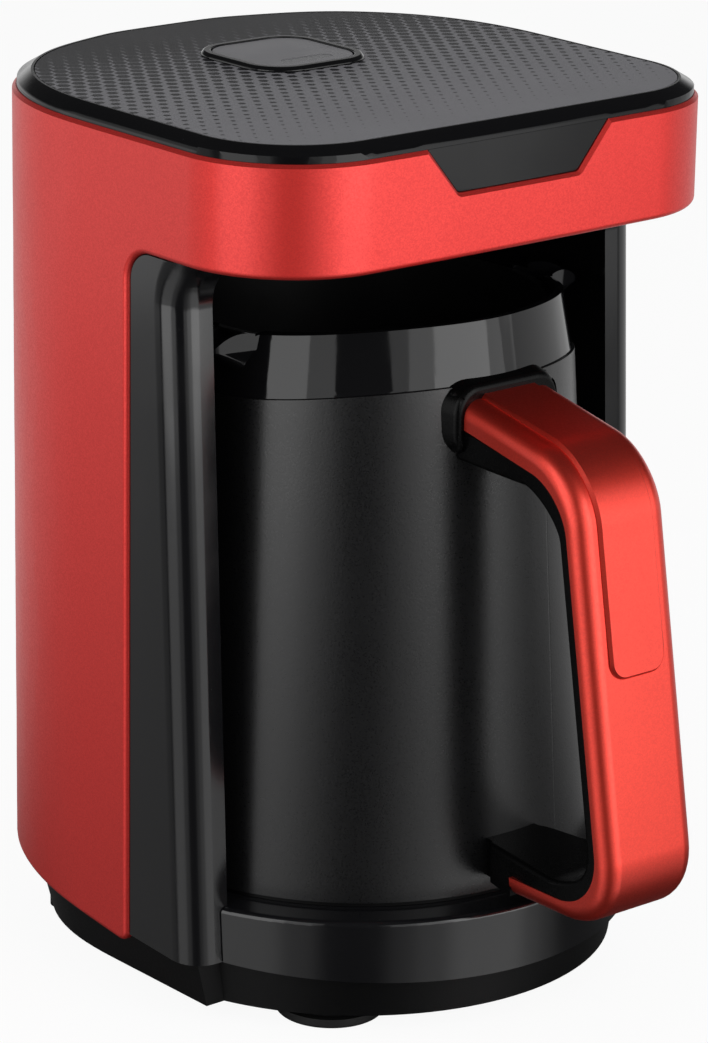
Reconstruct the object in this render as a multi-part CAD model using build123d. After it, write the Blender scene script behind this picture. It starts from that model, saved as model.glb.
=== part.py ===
from build123d import *
import math
import os

os.makedirs("parts", exist_ok=True)

# Electric Turkish coffee maker: a cordless pot that stands in an open bay under a lidded head.
# Millimetres. The front faces -Y, +Z is up and the feet stand on z = 0.
# Every shape is drawn with the pot's axis at x = y = 0 and moved to the row frame when saved.

# ---- body in plan ----
body_width = 158.5
front_reach = 59.7
front_bulge = 1.1
front_corner_radius = 32.4
side_straight_end = 14.2
rear_depth = 75.0
rear_exponent = 2.4
rear_points = 6

# ---- heights ----
foot_height = 5.3
seam_front_z = 15.6
seam_slope = 0.06
skirt_front_z = 17.2
skirt_slope = 0.12
floor_z = 33.0
shell_top_z = 231.1
lid_rise = 3.9
band_depth = 28.5
pot_headroom = 19.8

# ---- walls and clearances ----
shell_wall = 2.4
moulded_wall = 2.2
fit_gap = 0.2
bay_gap = 0.3
seat_gap = 0.1
slide_gap = 0.15

# ---- outer shell ----
panel_front_y = -3.2
panel_corner_radius = 8.0
panel_toe_radius = 3.0
edge_round = 0.9
window_round = 1.5
badge_top_half = 29.9
badge_bottom_half = 19.8
badge_depth = 12.1
badge_corner_radius = 2.0

# ---- inner housing ----
column_inset = 1.1
column_front_y = -28.6
column_lean = 0.05
column_corner_radius = 8.0
column_flare_reach = 8.6
column_flare_height = 14.0
bay_cove_radius = 9.0
housing_tongue_end = 12.0
bay_radius = 66.0
boss_x = 58.0
boss_y = 52.0
boss_radius = 4.0
boss_hole_radius = 1.4
ceiling_thickness = 2.4
ceiling_lift = 0.4
rib_count = 4
rib_thickness = 1.6

# ---- platform and base plate ----
drum_radius = 74.2
drum_edge_round = 1.6
platform_thickness = 2.6
base_top_inset = 2.8
base_bottom_inset = 9.0
base_drum_taper = 3.6
base_wall = 2.4
front_foot_x = 37.8
front_foot_y = -36.4
rear_foot_x = 42.0
rear_foot_y = 56.0
foot_radius = 14.2
foot_disc_height = 2.6
foot_neck_radius = 10.5
foot_plug_radius = 3.0
foot_lip = 1.2
foot_chamfer = 0.6
foot_rim = 2.0
screw_recess_radius = 3.4
screw_recess_depth = 6.0
vent_count = 7
vent_pitch = 8.0
vent_y = 24.0
vent_length = 26.0
vent_width = 3.0

# ---- connector between machine and pot ----
pod_radius = 17.0
pod_height = 2.6
pod_flange_radius = 21.0
pod_flange_thickness = 2.0
pod_depth = 9.0
pin_radius = 1.5
pin_pitch = 8.0
pin_tail_radius = 1.0
pin_stand = 0.8
pin_travel = 1.0
pin_collar_radius = 2.4
pin_collar_height = 1.2

# ---- lid, button ----
bezel_lip = 0.7
bezel_ledge = 2.4
badge_set_back = 0.5
panel_drop = 0.05
bezel_top_inset = 4.6
bezel_skirt_depth = 7.0
bezel_skirt_wall = 2.0
panel_thickness = 1.8
button_y = 34.0
button_side = 36.8
button_corner = 11.0
button_ring_width = 2.6
button_rise = 1.3
button_top_drop = 0.25
button_travel = 0.8
button_foot_inset = 1.5
button_foot_depth = 4.0
button_edge_round = 0.8
cap_thickness = 1.6
cap_edge_round = 0.4
stop_ledge = 1.6
stop_gap = 0.1
plunger_stand = 1.2
light_offset = 10.0
light_depth = 3.0
light_recess = 0.1
light_length = 16.0
light_width = 4.4
stem_radius = 3.0
switch_side = 12.0
switch_height = 4.3
plunger_radius = 1.8
board_width = 74.0
board_depth = 46.0
board_thickness = 1.6
board_post_height = 5.0
board_post_radius = 3.0
board_post_inset = 5.0

# ---- pot ----
pot_bottom_radius = 64.1
pot_shoulder_radius = 55.2
collar_height = 15.2
collar_dip = 5.1
collar_seam = 0.04
collar_bottom_radius = 54.3
rim_radius = 51.6
pot_wall = 2.2
cup_wall = 0.8
cup_top_radius = 48.4
cup_floor_radius = 45.0
cup_floor_z = 62.0
cup_corner_radius = 7.0
cup_rim_drop = 4.8
cup_lip_radius = 49.6
spout_turn = 12.0
spout_tip_radius = 63.6
spout_tip_round = 3.6
spout_mouth_radius = 12.0
spout_foot_radius = 6.0
spout_depth = 14.0
spout_root_drop = 3.9
spout_crown_drop = 3.2
spout_tip_drop = 7.4
spout_wall = 1.3
recess_radius = 50.0
recess_depth = 3.5
pot_base_height = 7.0
element_ring_radius = 26.0
element_tube_radius = 3.9
spreader_radius = 37.0
spreader_thickness = 3.0

# ---- pot handle ----
handle_reach = 120.6
handle_width = 20.0
handle_lean = 9.9
handle_bottom_z = 38.2
handle_root_drop = 0.7
handle_arm_slope = 11.4
handle_arm_share = 0.78
handle_top_radius = 22.0
handle_bottom_radius = 26.5
handle_cover_depth = 17.6
handle_liner_depth = 3.8
handle_arm_liner = 4.6
handle_edge_round = 4.2
liner_edge_round = 1.4
inlay_gap = 0.05
inlay_width = 15.2
inlay_rise = 0.3
inlay_seat = 0.7
inlay_drop = 64.0
inlay_corner_radius = 4.5
cover_root_y = -57.5
cover_tip_y = -73.3
cover_tip_round = 2.6
cover_tip_rise = 4.2
parting_round = 10.0
lower_parting_round = 12.0
boss_half_width = 17.2
boss_height = 20.0
boss_rise = 1.9
boss_corner_radius = 8.0
boss_start_y = -52.0
boss_front_y = -59.5
boss_draft = 28.0
boss_edge_round = 1.2
lower_arm_height = 10.2
lower_arm_round = 9.0
lower_neck_half_width = 7.8
lower_neck_y = -67.5
lower_neck_round = 4.0

# ---- small inner parts ----
sensor_hole_radius = 6.0
sensor_lens_thickness = 1.6
sensor_can_radius = 4.1
sensor_can_height = 4.0
screw_clear_radius = 1.8
screw_shank_radius = 1.3
screw_head_radius = 2.8
screw_head_height = 1.6
screw_length = 8.0
screw_slot_width = 0.8
screw_tip_gap = 1.5
thread_gap = 0.05
gland_radius = 6.5
gland_bore_radius = 3.4
gland_flange_radius = 7.9
gland_flange_thickness = 1.5
gland_seat_gap = 0.05
gland_z = 16.0
board_parts_x = 24.0
relay_offset = 6.5
relay_size = (19.0, 15.5, 15.0)
buzzer_offset = -13.0
buzzer_radius = 6.0
buzzer_height = 9.5
transformer_offset = 4.0
transformer_size = (22.0, 20.0, 16.0)
thermostat_radius = 8.2
thermostat_height = 6.0
blade_size = (6.3, 0.8, 8.0)
fuse_radius = 1.8
fuse_length = 14.0
clamp_radius = 30.0
clamp_thickness = 1.4
clamp_stud_radius = 3.0
pad_radius = 3.2
pad_thickness = 1.0
pad_gap = 0.02
contact_plate_radius = 19.0
contact_flange = 3.0
pot_foot_height = 0.9
pot_foot_set_back = 0.5
collar_spigot = 9.0
rim_round = 0.6
spout_inset = 0.6
pod_roof = 1.6
element_arc = 300.0
element_leg = 6.0
handle_screw_length = 5.8
handle_screw_seat = 0.28
handle_screw_gap = 2.0
handle_screw_rise = 5.6

# ---- derived ----
half_width = body_width / 2
rear_reach = side_straight_end + rear_depth
pot_axis_y = (handle_reach - rear_reach) / 2
inner_inset = shell_wall + fit_gap
lid_top_z = shell_top_z + lid_rise
band_bottom_z = shell_top_z - band_depth
badge_bottom_z = shell_top_z - badge_depth
ceiling_z = band_bottom_z + ceiling_lift
rim_z = band_bottom_z - pot_headroom
pot_shoulder_z = rim_z - collar_height
cup_rim_z = rim_z - cup_rim_drop
inlay_bottom_z = pot_shoulder_z - inlay_drop
pot_seat_z = floor_z + seat_gap
cap_top_z = lid_top_z + button_rise - button_top_drop
cap_low_z = cap_top_z - cap_thickness
cap_side = button_side - 2 * button_ring_width - 2 * slide_gap
cap_corner = button_corner - button_ring_width
board_low_z = ceiling_z + ceiling_thickness + board_post_height
board_top_z = board_low_z + board_thickness
pod_top_z = floor_z + pod_height
recess_z = pot_seat_z + recess_depth
big = 400.0
standing = (Align.CENTER, Align.CENTER, Align.MIN)
centred = (Align.CENTER, Align.MIN, Align.MIN)
hanging = (Align.CENTER, Align.CENTER, Align.MAX)


def save(node, shape):
    """Move a shape from the pot's axis to the row frame and write its STEP file."""
    moved = Pos(0, pot_axis_y, 0) * shape
    solids = list(moved.solids())
    whole = solids[0] if len(solids) == 1 else Compound(children=solids)
    export_step(whole, "parts/" + node + ".step")


# ---- shared outlines and solids ----
def plan_outline(inset):
    """The body's plan outline, drawn in from the outer face by inset."""
    bow_radius = (half_width ** 2 + front_bulge ** 2) / (2 * front_bulge)
    corner_x = half_width - front_corner_radius
    bow_drop = math.sqrt((bow_radius - front_corner_radius) ** 2 - corner_x ** 2)
    corner_y = -front_reach + bow_radius - bow_drop
    turn = math.atan2(corner_x, bow_drop)
    bow = bow_radius - inset
    arc_x = bow * math.sin(turn)
    arc_y = -front_reach + bow_radius - bow * math.cos(turn)
    rounding = front_corner_radius - inset
    half_turn = (turn + math.pi / 2) / 2
    mid_x = corner_x + rounding * math.sin(half_turn)
    mid_y = corner_y - rounding * math.cos(half_turn)
    side = half_width - inset
    rear = rear_depth - inset
    power = 2 / rear_exponent
    curve = [(side, side_straight_end)]
    for step in range(1, rear_points):
        angle = math.pi * step / (2 * rear_points)
        curve.append((side * math.cos(angle) ** power, side_straight_end + rear * math.sin(angle) ** power))
    curve.append((0, side_straight_end + rear))
    front = ThreePointArc((-arc_x, arc_y), (0, -front_reach + inset), (arc_x, arc_y))
    corner = ThreePointArc((arc_x, arc_y), (mid_x, mid_y), (side, corner_y))
    straight = Line((side, corner_y), curve[0])
    back = Spline(*curve, tangents=[(0, 1), (-1, 0)])
    half = [corner, straight, back]
    other = [mirror(edge, Plane.YZ) for edge in half]
    return make_face([front, *half, *other])


def prism(face, low, high):
    """A plan face made into a solid between two heights."""
    return Pos(0, 0, low) * extrude(face, high - low)


def slab(y_low, y_high, z_low=0, z_high=big):
    """A block right across the body between two y values and two heights."""
    return Pos(0, y_low, z_low) * Box(big, y_high - y_low, z_high - z_low, align=centred)


def disc(radius, low, high):
    """A round plate about the pot's axis."""
    return Pos(0, 0, low) * Cylinder(radius, high - low, align=standing)


def tube(outer, inner, low, high):
    """A round ring about the pot's axis."""
    return disc(outer, low, high) - disc(inner, low - 1, high + 1)


def side_prism(points, rounds=(), half=big / 2):
    """A side-view polygon of (y, z) points run across the body; rounds are (index, radius)."""
    face = make_face(Polyline(*points, close=True))
    for index, radius in rounds:
        y, z = points[index]
        corner = face.vertices().sort_by_distance((y, z, 0))[0]
        face = fillet(corner, radius)
    return extrude(Plane.YZ * face, half, both=True)


def turned(points):
    """A solid turned about the pot's axis from a polygon of (radius, z) points."""
    return revolve(Plane.XZ * make_face(Polyline(*points, close=True)), Axis.Z)


def seam_z(y):
    """Height of the seam between the housing and the base plate."""
    return seam_front_z + seam_slope * (y + drum_radius)


def above_seam():
    """Everything above the sloping seam."""
    return side_prism([(-big, seam_z(-big)), (big, seam_z(big)), (big, big), (-big, big)])


# ---- body ----
def outer_shell():
    """Painted C-shaped skin: back, both sides and the band round the front of the head."""
    front = -front_reach - 10
    rear = rear_reach + 10
    rear_skirt = skirt_front_z + skirt_slope * (rear - panel_front_y)
    profile = [
        (rear, rear_skirt),
        (rear, shell_top_z),
        (front, shell_top_z),
        (front, band_bottom_z),
        (panel_front_y, band_bottom_z),
        (panel_front_y, skirt_front_z),
    ]
    kept = side_prism(profile, [(4, panel_corner_radius), (5, panel_toe_radius)])
    skin = prism(plan_outline(0), 0, shell_top_z) & kept
    rim = skin.edges().group_by(Axis.Z)[-1]
    skin = chamfer(rim, edge_round)
    skin = fillet(window_edges(skin), window_round)
    skin -= prism(plan_outline(shell_wall), -1, shell_top_z + 1)
    return skin - badge_prism(0)


def window_edges(skin):
    """Outer edges of the open side, the band's lower edge and the skirt."""
    outline = plan_outline(0).face().outer_wire()
    found = []
    for edge in skin.edges():
        middle = edge.position_at(0.5)
        upright = abs(edge.tangent_at(0.5).Z) > 0.999
        inner = outline.distance_to(Vertex(middle.X, middle.Y, 0)) > 0.01
        seam = upright and abs(middle.Y - panel_front_y) > 0.01
        if not (inner or seam or middle.Z > shell_top_z - 2 * edge_round):
            found.append(edge)
    return found


def badge_prism(clearance):
    """The tapering notch for the badge, drawn in by a clearance and run through the front band."""
    top_z = shell_top_z + 1
    spread = (badge_top_half - badge_bottom_half) / (shell_top_z - badge_bottom_z)
    top_half = badge_bottom_half + spread * (top_z - badge_bottom_z) - clearance
    low_half = badge_bottom_half - clearance
    low_z = badge_bottom_z + clearance
    corners = [(-low_half, low_z), (low_half, low_z), (top_half, top_z), (-top_half, top_z)]
    face = make_face(Polyline(*corners, close=True))
    face = fillet(face.vertices().sort_by(Axis.Y)[:2], badge_corner_radius)
    return Pos(0, -front_reach - 5, 0) * extrude(Plane.XZ * face, -(5 + shell_wall + 8))


def column_face_y(z):
    """y of the columns' front faces, which lean back from the floor up."""
    return column_front_y + column_lean * (z - floor_z)


def behind_columns(inset):
    """Everything behind the columns' leaning front faces, moved back by an inset."""
    low_y = column_face_y(-1) + inset
    high_y = column_face_y(shell_top_z) + inset
    return side_prism([(low_y, -1), (big, -1), (big, shell_top_z), (high_y, shell_top_z)])


def bay_outline(offset):
    """Plan of the bay: a half round back with straight sides that run out to the front."""
    radius = bay_radius + offset
    return Circle(radius) + Pos(0, -big / 2) * Rectangle(2 * radius, big)


def bay_housing():
    """Gloss inner moulding that forms the columns and the round back wall of the bay."""
    form = column_form()
    inside = prism(plan_outline(inner_inset), 0, ceiling_z)
    column = prism(plan_outline(column_inset), 0, ceiling_z) & form & slab(-big, housing_tongue_end, -1)
    back = disc(bay_radius + moulded_wall, 0, ceiling_z)
    back += prism(bay_outline(moulded_wall), 0, ceiling_z)
    hollow = prism(plan_outline(inner_inset + moulded_wall), -1, ceiling_z + 1)
    hollow -= prism(bay_outline(moulded_wall), -2, ceiling_z + 2)
    wall = (column & shell_window(bay_gap)) + (column & inside) + (back & form & inside)
    wall -= hollow & behind_columns(moulded_wall)
    wall += housing_bosses() & form
    spacing = (ceiling_z - floor_z) / (rib_count + 1)
    for index in range(1, rib_count + 1):
        wall += housing_rib(floor_z + spacing * index) & form
    wall += bay_cove() & form & inside
    wall -= prism(bay_outline(0), -1, ceiling_z + 1) - bay_cove()
    for side in (-1, 1):
        upper_hole = Cylinder(boss_hole_radius, big, align=standing)
        wall -= Pos(side * boss_x, boss_y, ceiling_z - screw_length) * upper_hole
        lower_hole = Cylinder(boss_hole_radius, seam_z(boss_y) + screw_length, align=standing)
        wall -= Pos(side * boss_x, boss_y, 0) * lower_hole
    return wall & above_seam()


def housing_bosses():
    """Two screw pillars behind the bay, each tied to its back wall by a web."""
    reach = math.hypot(boss_x, boss_y)
    web = Box(reach, moulded_wall, ceiling_z, align=(Align.MIN, Align.CENTER, Align.MIN))
    made = Cylinder(boss_radius, ceiling_z, align=standing)
    pillars = [Pos(side * boss_x, boss_y, 0) * made for side in (-1, 1)]
    webs = [Rot(0, 0, math.degrees(math.atan2(boss_y, side * boss_x))) * web for side in (-1, 1)]
    return Compound(children=pillars) + webs


def column_form():
    """Everything behind the columns' faces: leaning, swept forward at the head, corners rounded."""
    z = ceiling_z - column_flare_height
    foot = (column_face_y(-1), -1)
    turn = (column_face_y(z), z)
    head = (column_face_y(z) - column_flare_reach, ceiling_z)
    edges = [
        Line(foot, turn),
        TangentArc(turn, head, tangent=(column_lean, 1)),
        Line(head, (big / 2, ceiling_z)),
        Line((big / 2, ceiling_z), (big / 2, -1)),
        Line((big / 2, -1), foot),
    ]
    form = extrude(Plane.YZ * make_face(edges), half_width - column_inset, both=True)
    side_x = half_width - column_inset
    front = []
    for edge in form.edges():
        middle = edge.center()
        at_side = abs(abs(middle.X) - side_x) < 0.01
        if at_side and middle.Y < 0 < middle.Z and abs(edge.tangent_at(0.5).Y) < 0.95:
            front.append(edge)
    return fillet(front, column_corner_radius)


def bay_cove():
    """Concave rounding between the bay's wall and the ceiling."""
    radius = bay_cove_radius
    block = prism(bay_outline(1), ceiling_z - radius, ceiling_z)
    space = prism(bay_outline(0), ceiling_z - 2 * radius, ceiling_z)
    top = [e for e in space.edges().group_by(Axis.Z)[-1] if e.center().Y > -big / 2]
    return block - fillet(top, radius)


def shell_window(clearance):
    """The open side of the shell, drawn in by a clearance."""
    edge = panel_front_y - clearance
    top = band_bottom_z - clearance
    corners = [(-big, top), (edge, top), (edge, -1), (-big, -1)]
    return side_prism(corners, [(1, panel_corner_radius - clearance)])


def housing_rib(height):
    """A level web that ties the bay wall to the column's side wall."""
    ring = plan_outline(inner_inset + moulded_wall / 2) - bay_outline(moulded_wall / 2)
    rib = prism(ring, height, height + rib_thickness) & slab(-big, housing_tongue_end)
    return rib & behind_columns(moulded_wall / 2)


def bay_ceiling():
    """Black plate that closes the head above the bay, with posts for the board."""
    top = ceiling_z + ceiling_thickness
    plate = prism(plan_outline(inner_inset), ceiling_z, top)
    plate -= disc(sensor_hole_radius, 0, big)
    for x, y in board_corners():
        plate += Pos(x, y, top) * Cylinder(board_post_radius, board_post_height, align=standing)
        plate -= Pos(x, y, top + 1) * Cylinder(boss_hole_radius, board_post_height, align=standing)
    for side in (-1, 1):
        plate -= Pos(side * boss_x, boss_y, 0) * Cylinder(screw_clear_radius, big, align=standing)
    return plate


def board_corners():
    """Fixing points of the control board."""
    reach_x = board_width / 2 - board_post_inset
    reach_y = board_depth / 2 - board_post_inset
    return [(sx * reach_x, button_y + sy * reach_y) for sx in (-1, 1) for sy in (-1, 1)]


def platform():
    """Round gloss plinth that the pot stands on, hollow underneath."""
    front = disc(drum_radius, 0, floor_z) - behind_columns(-bay_gap)
    inner = prism(bay_outline(-bay_gap), 0, floor_z) & slab(column_front_y - moulded_wall, big)
    body = front + inner
    rim = [e for e in body.edges().group_by(Axis.Z)[-1] if e.center().Y < column_front_y - 5]
    body = fillet(rim, drum_edge_round)
    under = floor_z - platform_thickness
    hollow = disc(drum_radius - moulded_wall, -1, under) - behind_columns(-bay_gap - moulded_wall)
    inner_hollow = prism(bay_outline(-bay_gap - moulded_wall), -1, under)
    hollow += inner_hollow & slab(column_front_y - 3 * moulded_wall, big, -1)
    body -= hollow
    body &= above_seam()
    return body - disc(pod_radius + fit_gap, 0, big)


def base_solid(inset, low):
    """Outer form of the base plate, drawn in by an inset: the tapered body and the tapered drum."""
    high = floor_z - platform_thickness
    taper = (base_bottom_inset - base_top_inset) / (high - foot_height)
    low_inset = base_bottom_inset + inset - taper * (low - foot_height)
    low_face = Pos(0, 0, low) * plan_outline(low_inset)
    high_face = Pos(0, 0, high) * plan_outline(base_top_inset + inset)
    front_y = column_front_y + base_top_inset + inset
    main = loft([low_face, high_face], ruled=True) & slab(front_y, big / 2)
    drum_high = drum_radius - moulded_wall / 2 - inset
    drum_low = drum_high - base_drum_taper
    drum = turned([(0, low), (drum_low, low), (drum_high, high), (0, high)])
    drum = drum & slab(-big / 2, front_y + 2 * moulded_wall)
    return main + drum


def base_plate():
    """Matte underside moulding with foot sockets, screw pillars and cooling slots."""
    plate = base_solid(0, foot_height)
    plate -= base_solid(base_wall, foot_height + base_wall)
    for side in (-1, 1):
        plate += Pos(side * boss_x, boss_y, foot_height) * Cylinder(boss_radius, floor_z, align=standing)
    plate -= above_seam()
    for side in (-1, 1):
        plate -= Pos(side * boss_x, boss_y, 0) * Cylinder(screw_clear_radius, big, align=standing)
        recess = Cylinder(screw_recess_radius, foot_height + screw_recess_depth, align=standing)
        plate -= Pos(side * boss_x, boss_y, 0) * recess
    for x, y in foot_places():
        plate -= Pos(x, y, 0) * Cylinder(foot_plug_radius, big / 2, align=standing)
    for index in range(vent_count):
        x = (index - (vent_count - 1) / 2) * vent_pitch
        plate -= Pos(x, vent_y, 0) * extrude(SlotOverall(vent_length, vent_width, rotation=90), floor_z)
    plate -= gland_hole()
    return plate


def gland_place():
    """Frame on the inner face of the sloping rear wall, with z out along the gland."""
    rise = floor_z - platform_thickness - foot_height
    lean = math.atan2(base_bottom_inset - base_top_inset, rise)
    wall_y = rear_reach - base_bottom_inset + math.tan(lean) * (gland_z - foot_height) - base_wall
    return Pos(0, wall_y, gland_z) * Rot(-90 - math.degrees(lean), 0, 0)


def gland_hole():
    """The round hole through the rear wall for the cord gland."""
    bore = Cylinder(gland_radius + fit_gap / 2, 4 * base_wall, align=standing)
    return gland_place() * Pos(0, 0, -base_wall) * bore


def cord_gland():
    """Grommet in the rear wall that the mains lead would pass through."""
    flange = gland_flange_thickness
    inner_z = -gland_seat_gap - flange
    outer_z = base_wall + gland_seat_gap
    body = Pos(0, 0, inner_z) * Cylinder(gland_radius, outer_z + flange - inner_z, align=standing)
    inner = Pos(0, 0, inner_z) * Cylinder(gland_flange_radius, flange, align=standing)
    outer = Pos(0, 0, outer_z) * Cone(gland_flange_radius, gland_radius, flange, align=standing)
    bore = Pos(0, 0, 2 * inner_z) * Cylinder(gland_bore_radius, 8 * base_wall, align=standing)
    return gland_place() * (body + inner + outer - bore)


def foot_places():
    """Centres of the four feet in plan."""
    front = [(side * front_foot_x, front_foot_y) for side in (-1, 1)]
    rear = [(side * rear_foot_x, rear_foot_y) for side in (-1, 1)]
    return front + rear


def rubber_feet():
    """Four round feet, each a broad disc on a neck with a plug pushed into the base plate."""
    plug_top = foot_height + base_wall + foot_lip
    plug = foot_plug_radius - fit_gap / 2
    profile = [
        (0, 0), (foot_radius - foot_chamfer, 0), (foot_radius, foot_chamfer),
        (foot_radius, foot_disc_height), (foot_radius - foot_rim, foot_disc_height),
        (foot_neck_radius, foot_disc_height - foot_chamfer), (foot_neck_radius, foot_height),
        (plug, foot_height), (plug, plug_top), (0, plug_top),
    ]
    foot = turned(profile)
    return Compound(children=[Pos(x, y, 0) * foot for x, y in foot_places()])


def screw(length):
    """A pan head screw that points up, with its head's underside at z = 0."""
    head = Pos(0, 0, -screw_head_height) * Cylinder(screw_head_radius, screw_head_height, align=standing)
    head = fillet(head.edges().group_by(Axis.Z)[0], screw_head_height * 0.45)
    slot = Box(screw_slot_width, 2 * screw_head_radius, screw_head_height, align=standing)
    slot = Pos(0, 0, -screw_head_height) * slot
    return head - slot + Cylinder(screw_shank_radius, length, align=standing)


def base_screws():
    """Two screws that go up through the base plate's pillars into the housing."""
    seat = foot_height + screw_recess_depth
    length = seam_z(boss_y) + screw_length - seat - 1
    return Compound(children=[Pos(side * boss_x, boss_y, seat) * screw(length) for side in (-1, 1)])


def ceiling_screws():
    """Two screws that hold the ceiling plate down on the housing's bosses."""
    top = ceiling_z + ceiling_thickness
    down = Rot(180, 0, 0) * screw(ceiling_thickness + screw_length - screw_tip_gap)
    return Compound(children=[Pos(side * boss_x, boss_y, top) * down for side in (-1, 1)])


# ---- lid and button ----
def squircle(side, corner):
    """Rounded square plan of the button, centred on the button's axis."""
    return Pos(0, button_y) * RectangleRounded(side, side, corner)


def top_bezel():
    """Gloss frame with a bevelled edge, a skirt inside the shell and the badge tongue in front."""
    low = shell_top_z
    low_face = Pos(0, 0, low) * plan_outline(edge_round)
    top_face = Pos(0, 0, lid_top_z) * plan_outline(bezel_top_inset)
    outer = loft([low_face, top_face], ruled=True)
    opening = prism(plan_outline(bezel_top_inset + bezel_lip), low - 1, big)
    frame = outer - opening
    skirt = prism(plan_outline(inner_inset), low - bezel_skirt_depth, low)
    skirt -= prism(plan_outline(inner_inset + bezel_skirt_wall), low - bezel_skirt_depth - 1, low + 1)
    ledge = prism(plan_outline(inner_inset), low - bezel_skirt_wall, low)
    ledge_inset = bezel_top_inset + bezel_lip + bezel_ledge
    ledge -= prism(plan_outline(ledge_inset), low - bezel_skirt_wall - 1, low + 1)
    tongue = badge_prism(fit_gap) & prism(plan_outline(badge_set_back), 0, low)
    tongue -= prism(plan_outline(inner_inset + bezel_skirt_wall), 0, low)
    return frame + skirt + ledge + tongue


def top_panel():
    """Satin plate that fills the frame and carries the button."""
    inset = bezel_top_inset + bezel_lip + fit_gap
    plate = prism(plan_outline(inset), lid_top_z - panel_thickness - panel_drop, lid_top_z - panel_drop)
    rim = prism(plan_outline(inset), shell_top_z, lid_top_z - panel_drop - panel_thickness)
    rim -= prism(plan_outline(inset + moulded_wall), shell_top_z - 1, lid_top_z)
    well = prism(squircle(button_side - 2 * button_foot_inset, button_corner - button_foot_inset), 0, big)
    return plate + rim - well


def button_bezel():
    """Raised gloss ring round the start button, clipped into the top panel."""
    top = lid_top_z + button_rise
    flange_low = lid_top_z - panel_drop
    ring = prism(squircle(button_side, button_corner), flange_low, top)
    ring = chamfer(ring.edges().group_by(Axis.Z)[-1], button_edge_round)
    foot_side = button_side - 2 * button_foot_inset - fit_gap
    foot = squircle(foot_side, button_corner - button_foot_inset - fit_gap / 2)
    ring += prism(foot, flange_low - button_foot_depth, flange_low)
    inner = squircle(cap_side + 2 * slide_gap, cap_corner + slide_gap)
    ring -= prism(inner, 0, big)
    stop = squircle(cap_side + 2 * slide_gap, cap_corner + slide_gap)
    stop -= squircle(cap_side - 2 * stop_ledge, cap_corner - stop_ledge)
    stop_top = cap_low_z - button_travel - stop_gap
    return ring + prism(stop, flange_low - button_foot_depth, stop_top)


def start_button():
    """The pressed face of the button with its stem and the slot for the light window."""
    cap = prism(squircle(cap_side, cap_corner), cap_low_z, cap_top_z)
    cap = chamfer(cap.edges().group_by(Axis.Z)[-1], cap_edge_round)
    stem_low = board_top_z + switch_height + plunger_stand
    cap += Pos(0, button_y, stem_low) * Cylinder(stem_radius, cap_low_z - stem_low, align=standing)
    return cap - light_prism(0, cap_low_z - 1, cap_top_z + 1)


def light_prism(clearance, low, high):
    """The status light's slot in the button face."""
    slot = SlotOverall(light_length - 2 * clearance, light_width - 2 * clearance)
    placed = Pos(0, button_y - light_offset) * slot
    return prism(placed, low, high)


def button_light():
    """Clear window of the status light, flush with the button face."""
    return light_prism(fit_gap / 4, cap_low_z - light_depth, cap_top_z - light_recess)


def tact_switch():
    """Body of the push switch under the button."""
    body = Pos(0, button_y, board_top_z) * Box(switch_side, switch_side, switch_height, align=standing)
    bore = Cylinder(plunger_radius + slide_gap, switch_height, align=standing)
    return body - Pos(0, button_y, board_top_z + 1) * bore


def switch_plunger():
    """Plunger that the button's stem pushes into the switch."""
    low = board_top_z + 1 + button_travel + slide_gap
    high = board_top_z + switch_height + plunger_stand
    return Pos(0, button_y, low) * Cylinder(plunger_radius, high - low, align=standing)


def control_board():
    """Circuit board on the ceiling plate's posts."""
    board = Pos(0, button_y, board_low_z) * Box(board_width, board_depth, board_thickness, align=standing)
    for x, y in board_corners():
        board -= Pos(x, y, 0) * Cylinder(screw_clear_radius, big, align=standing)
    return board


def board_screws():
    """Four screws that hold the board on its posts."""
    down = Rot(180, 0, 0) * screw(board_thickness + board_post_height - screw_tip_gap)
    return Compound(children=[Pos(x, y, board_top_z) * down for x, y in board_corners()])


def relay():
    """Power relay that switches the pot's element."""
    return on_board(-board_parts_x, relay_offset, fillet_box(relay_size, cap_edge_round))


def transformer():
    """Low voltage supply block on the board."""
    return on_board(board_parts_x, transformer_offset, fillet_box(transformer_size, edge_round))


def buzzer():
    """Round sounder that beeps when the coffee has risen."""
    body = Cylinder(buzzer_radius, buzzer_height, align=standing)
    body = fillet(body.edges().group_by(Axis.Z)[-1], 0.8)
    hole = Pos(0, 0, buzzer_height - 1.5) * Cylinder(1.0, 3, align=standing)
    return on_board(-board_parts_x, buzzer_offset, body - hole)


def on_board(x, y, solid):
    """Place a solid on the board at an offset from the button's axis."""
    return Pos(x, button_y + y, board_top_z) * solid


def fillet_box(size, radius):
    """A block standing on z = 0 with its upright edges rounded."""
    box = Box(*size, align=standing)
    return fillet(box.edges().filter_by(Axis.Z), radius)


def sensor_window():
    """Clear window in the ceiling that the boil sensor looks down through."""
    low = ceiling_z
    lens = disc(sensor_hole_radius - fit_gap / 2, low, low + sensor_lens_thickness)
    rim_low = ceiling_z + ceiling_thickness
    lens += disc(sensor_hole_radius - fit_gap / 2, low + sensor_lens_thickness, rim_low)
    return lens + disc(sensor_hole_radius + 1.5, rim_low, rim_low + 1)


def boil_sensor():
    """Can of the infrared sensor that watches the foam, on its window."""
    low = ceiling_z + ceiling_thickness + 1
    can = disc(sensor_can_radius, low, low + sensor_can_height)
    return can + disc(sensor_can_radius + 1, low, low + 0.8)


# ---- connector ----
def pin_places():
    """The three contact pins stand in a row across the pod."""
    return [(index * pin_pitch, 0) for index in (-1, 0, 1)]


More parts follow.
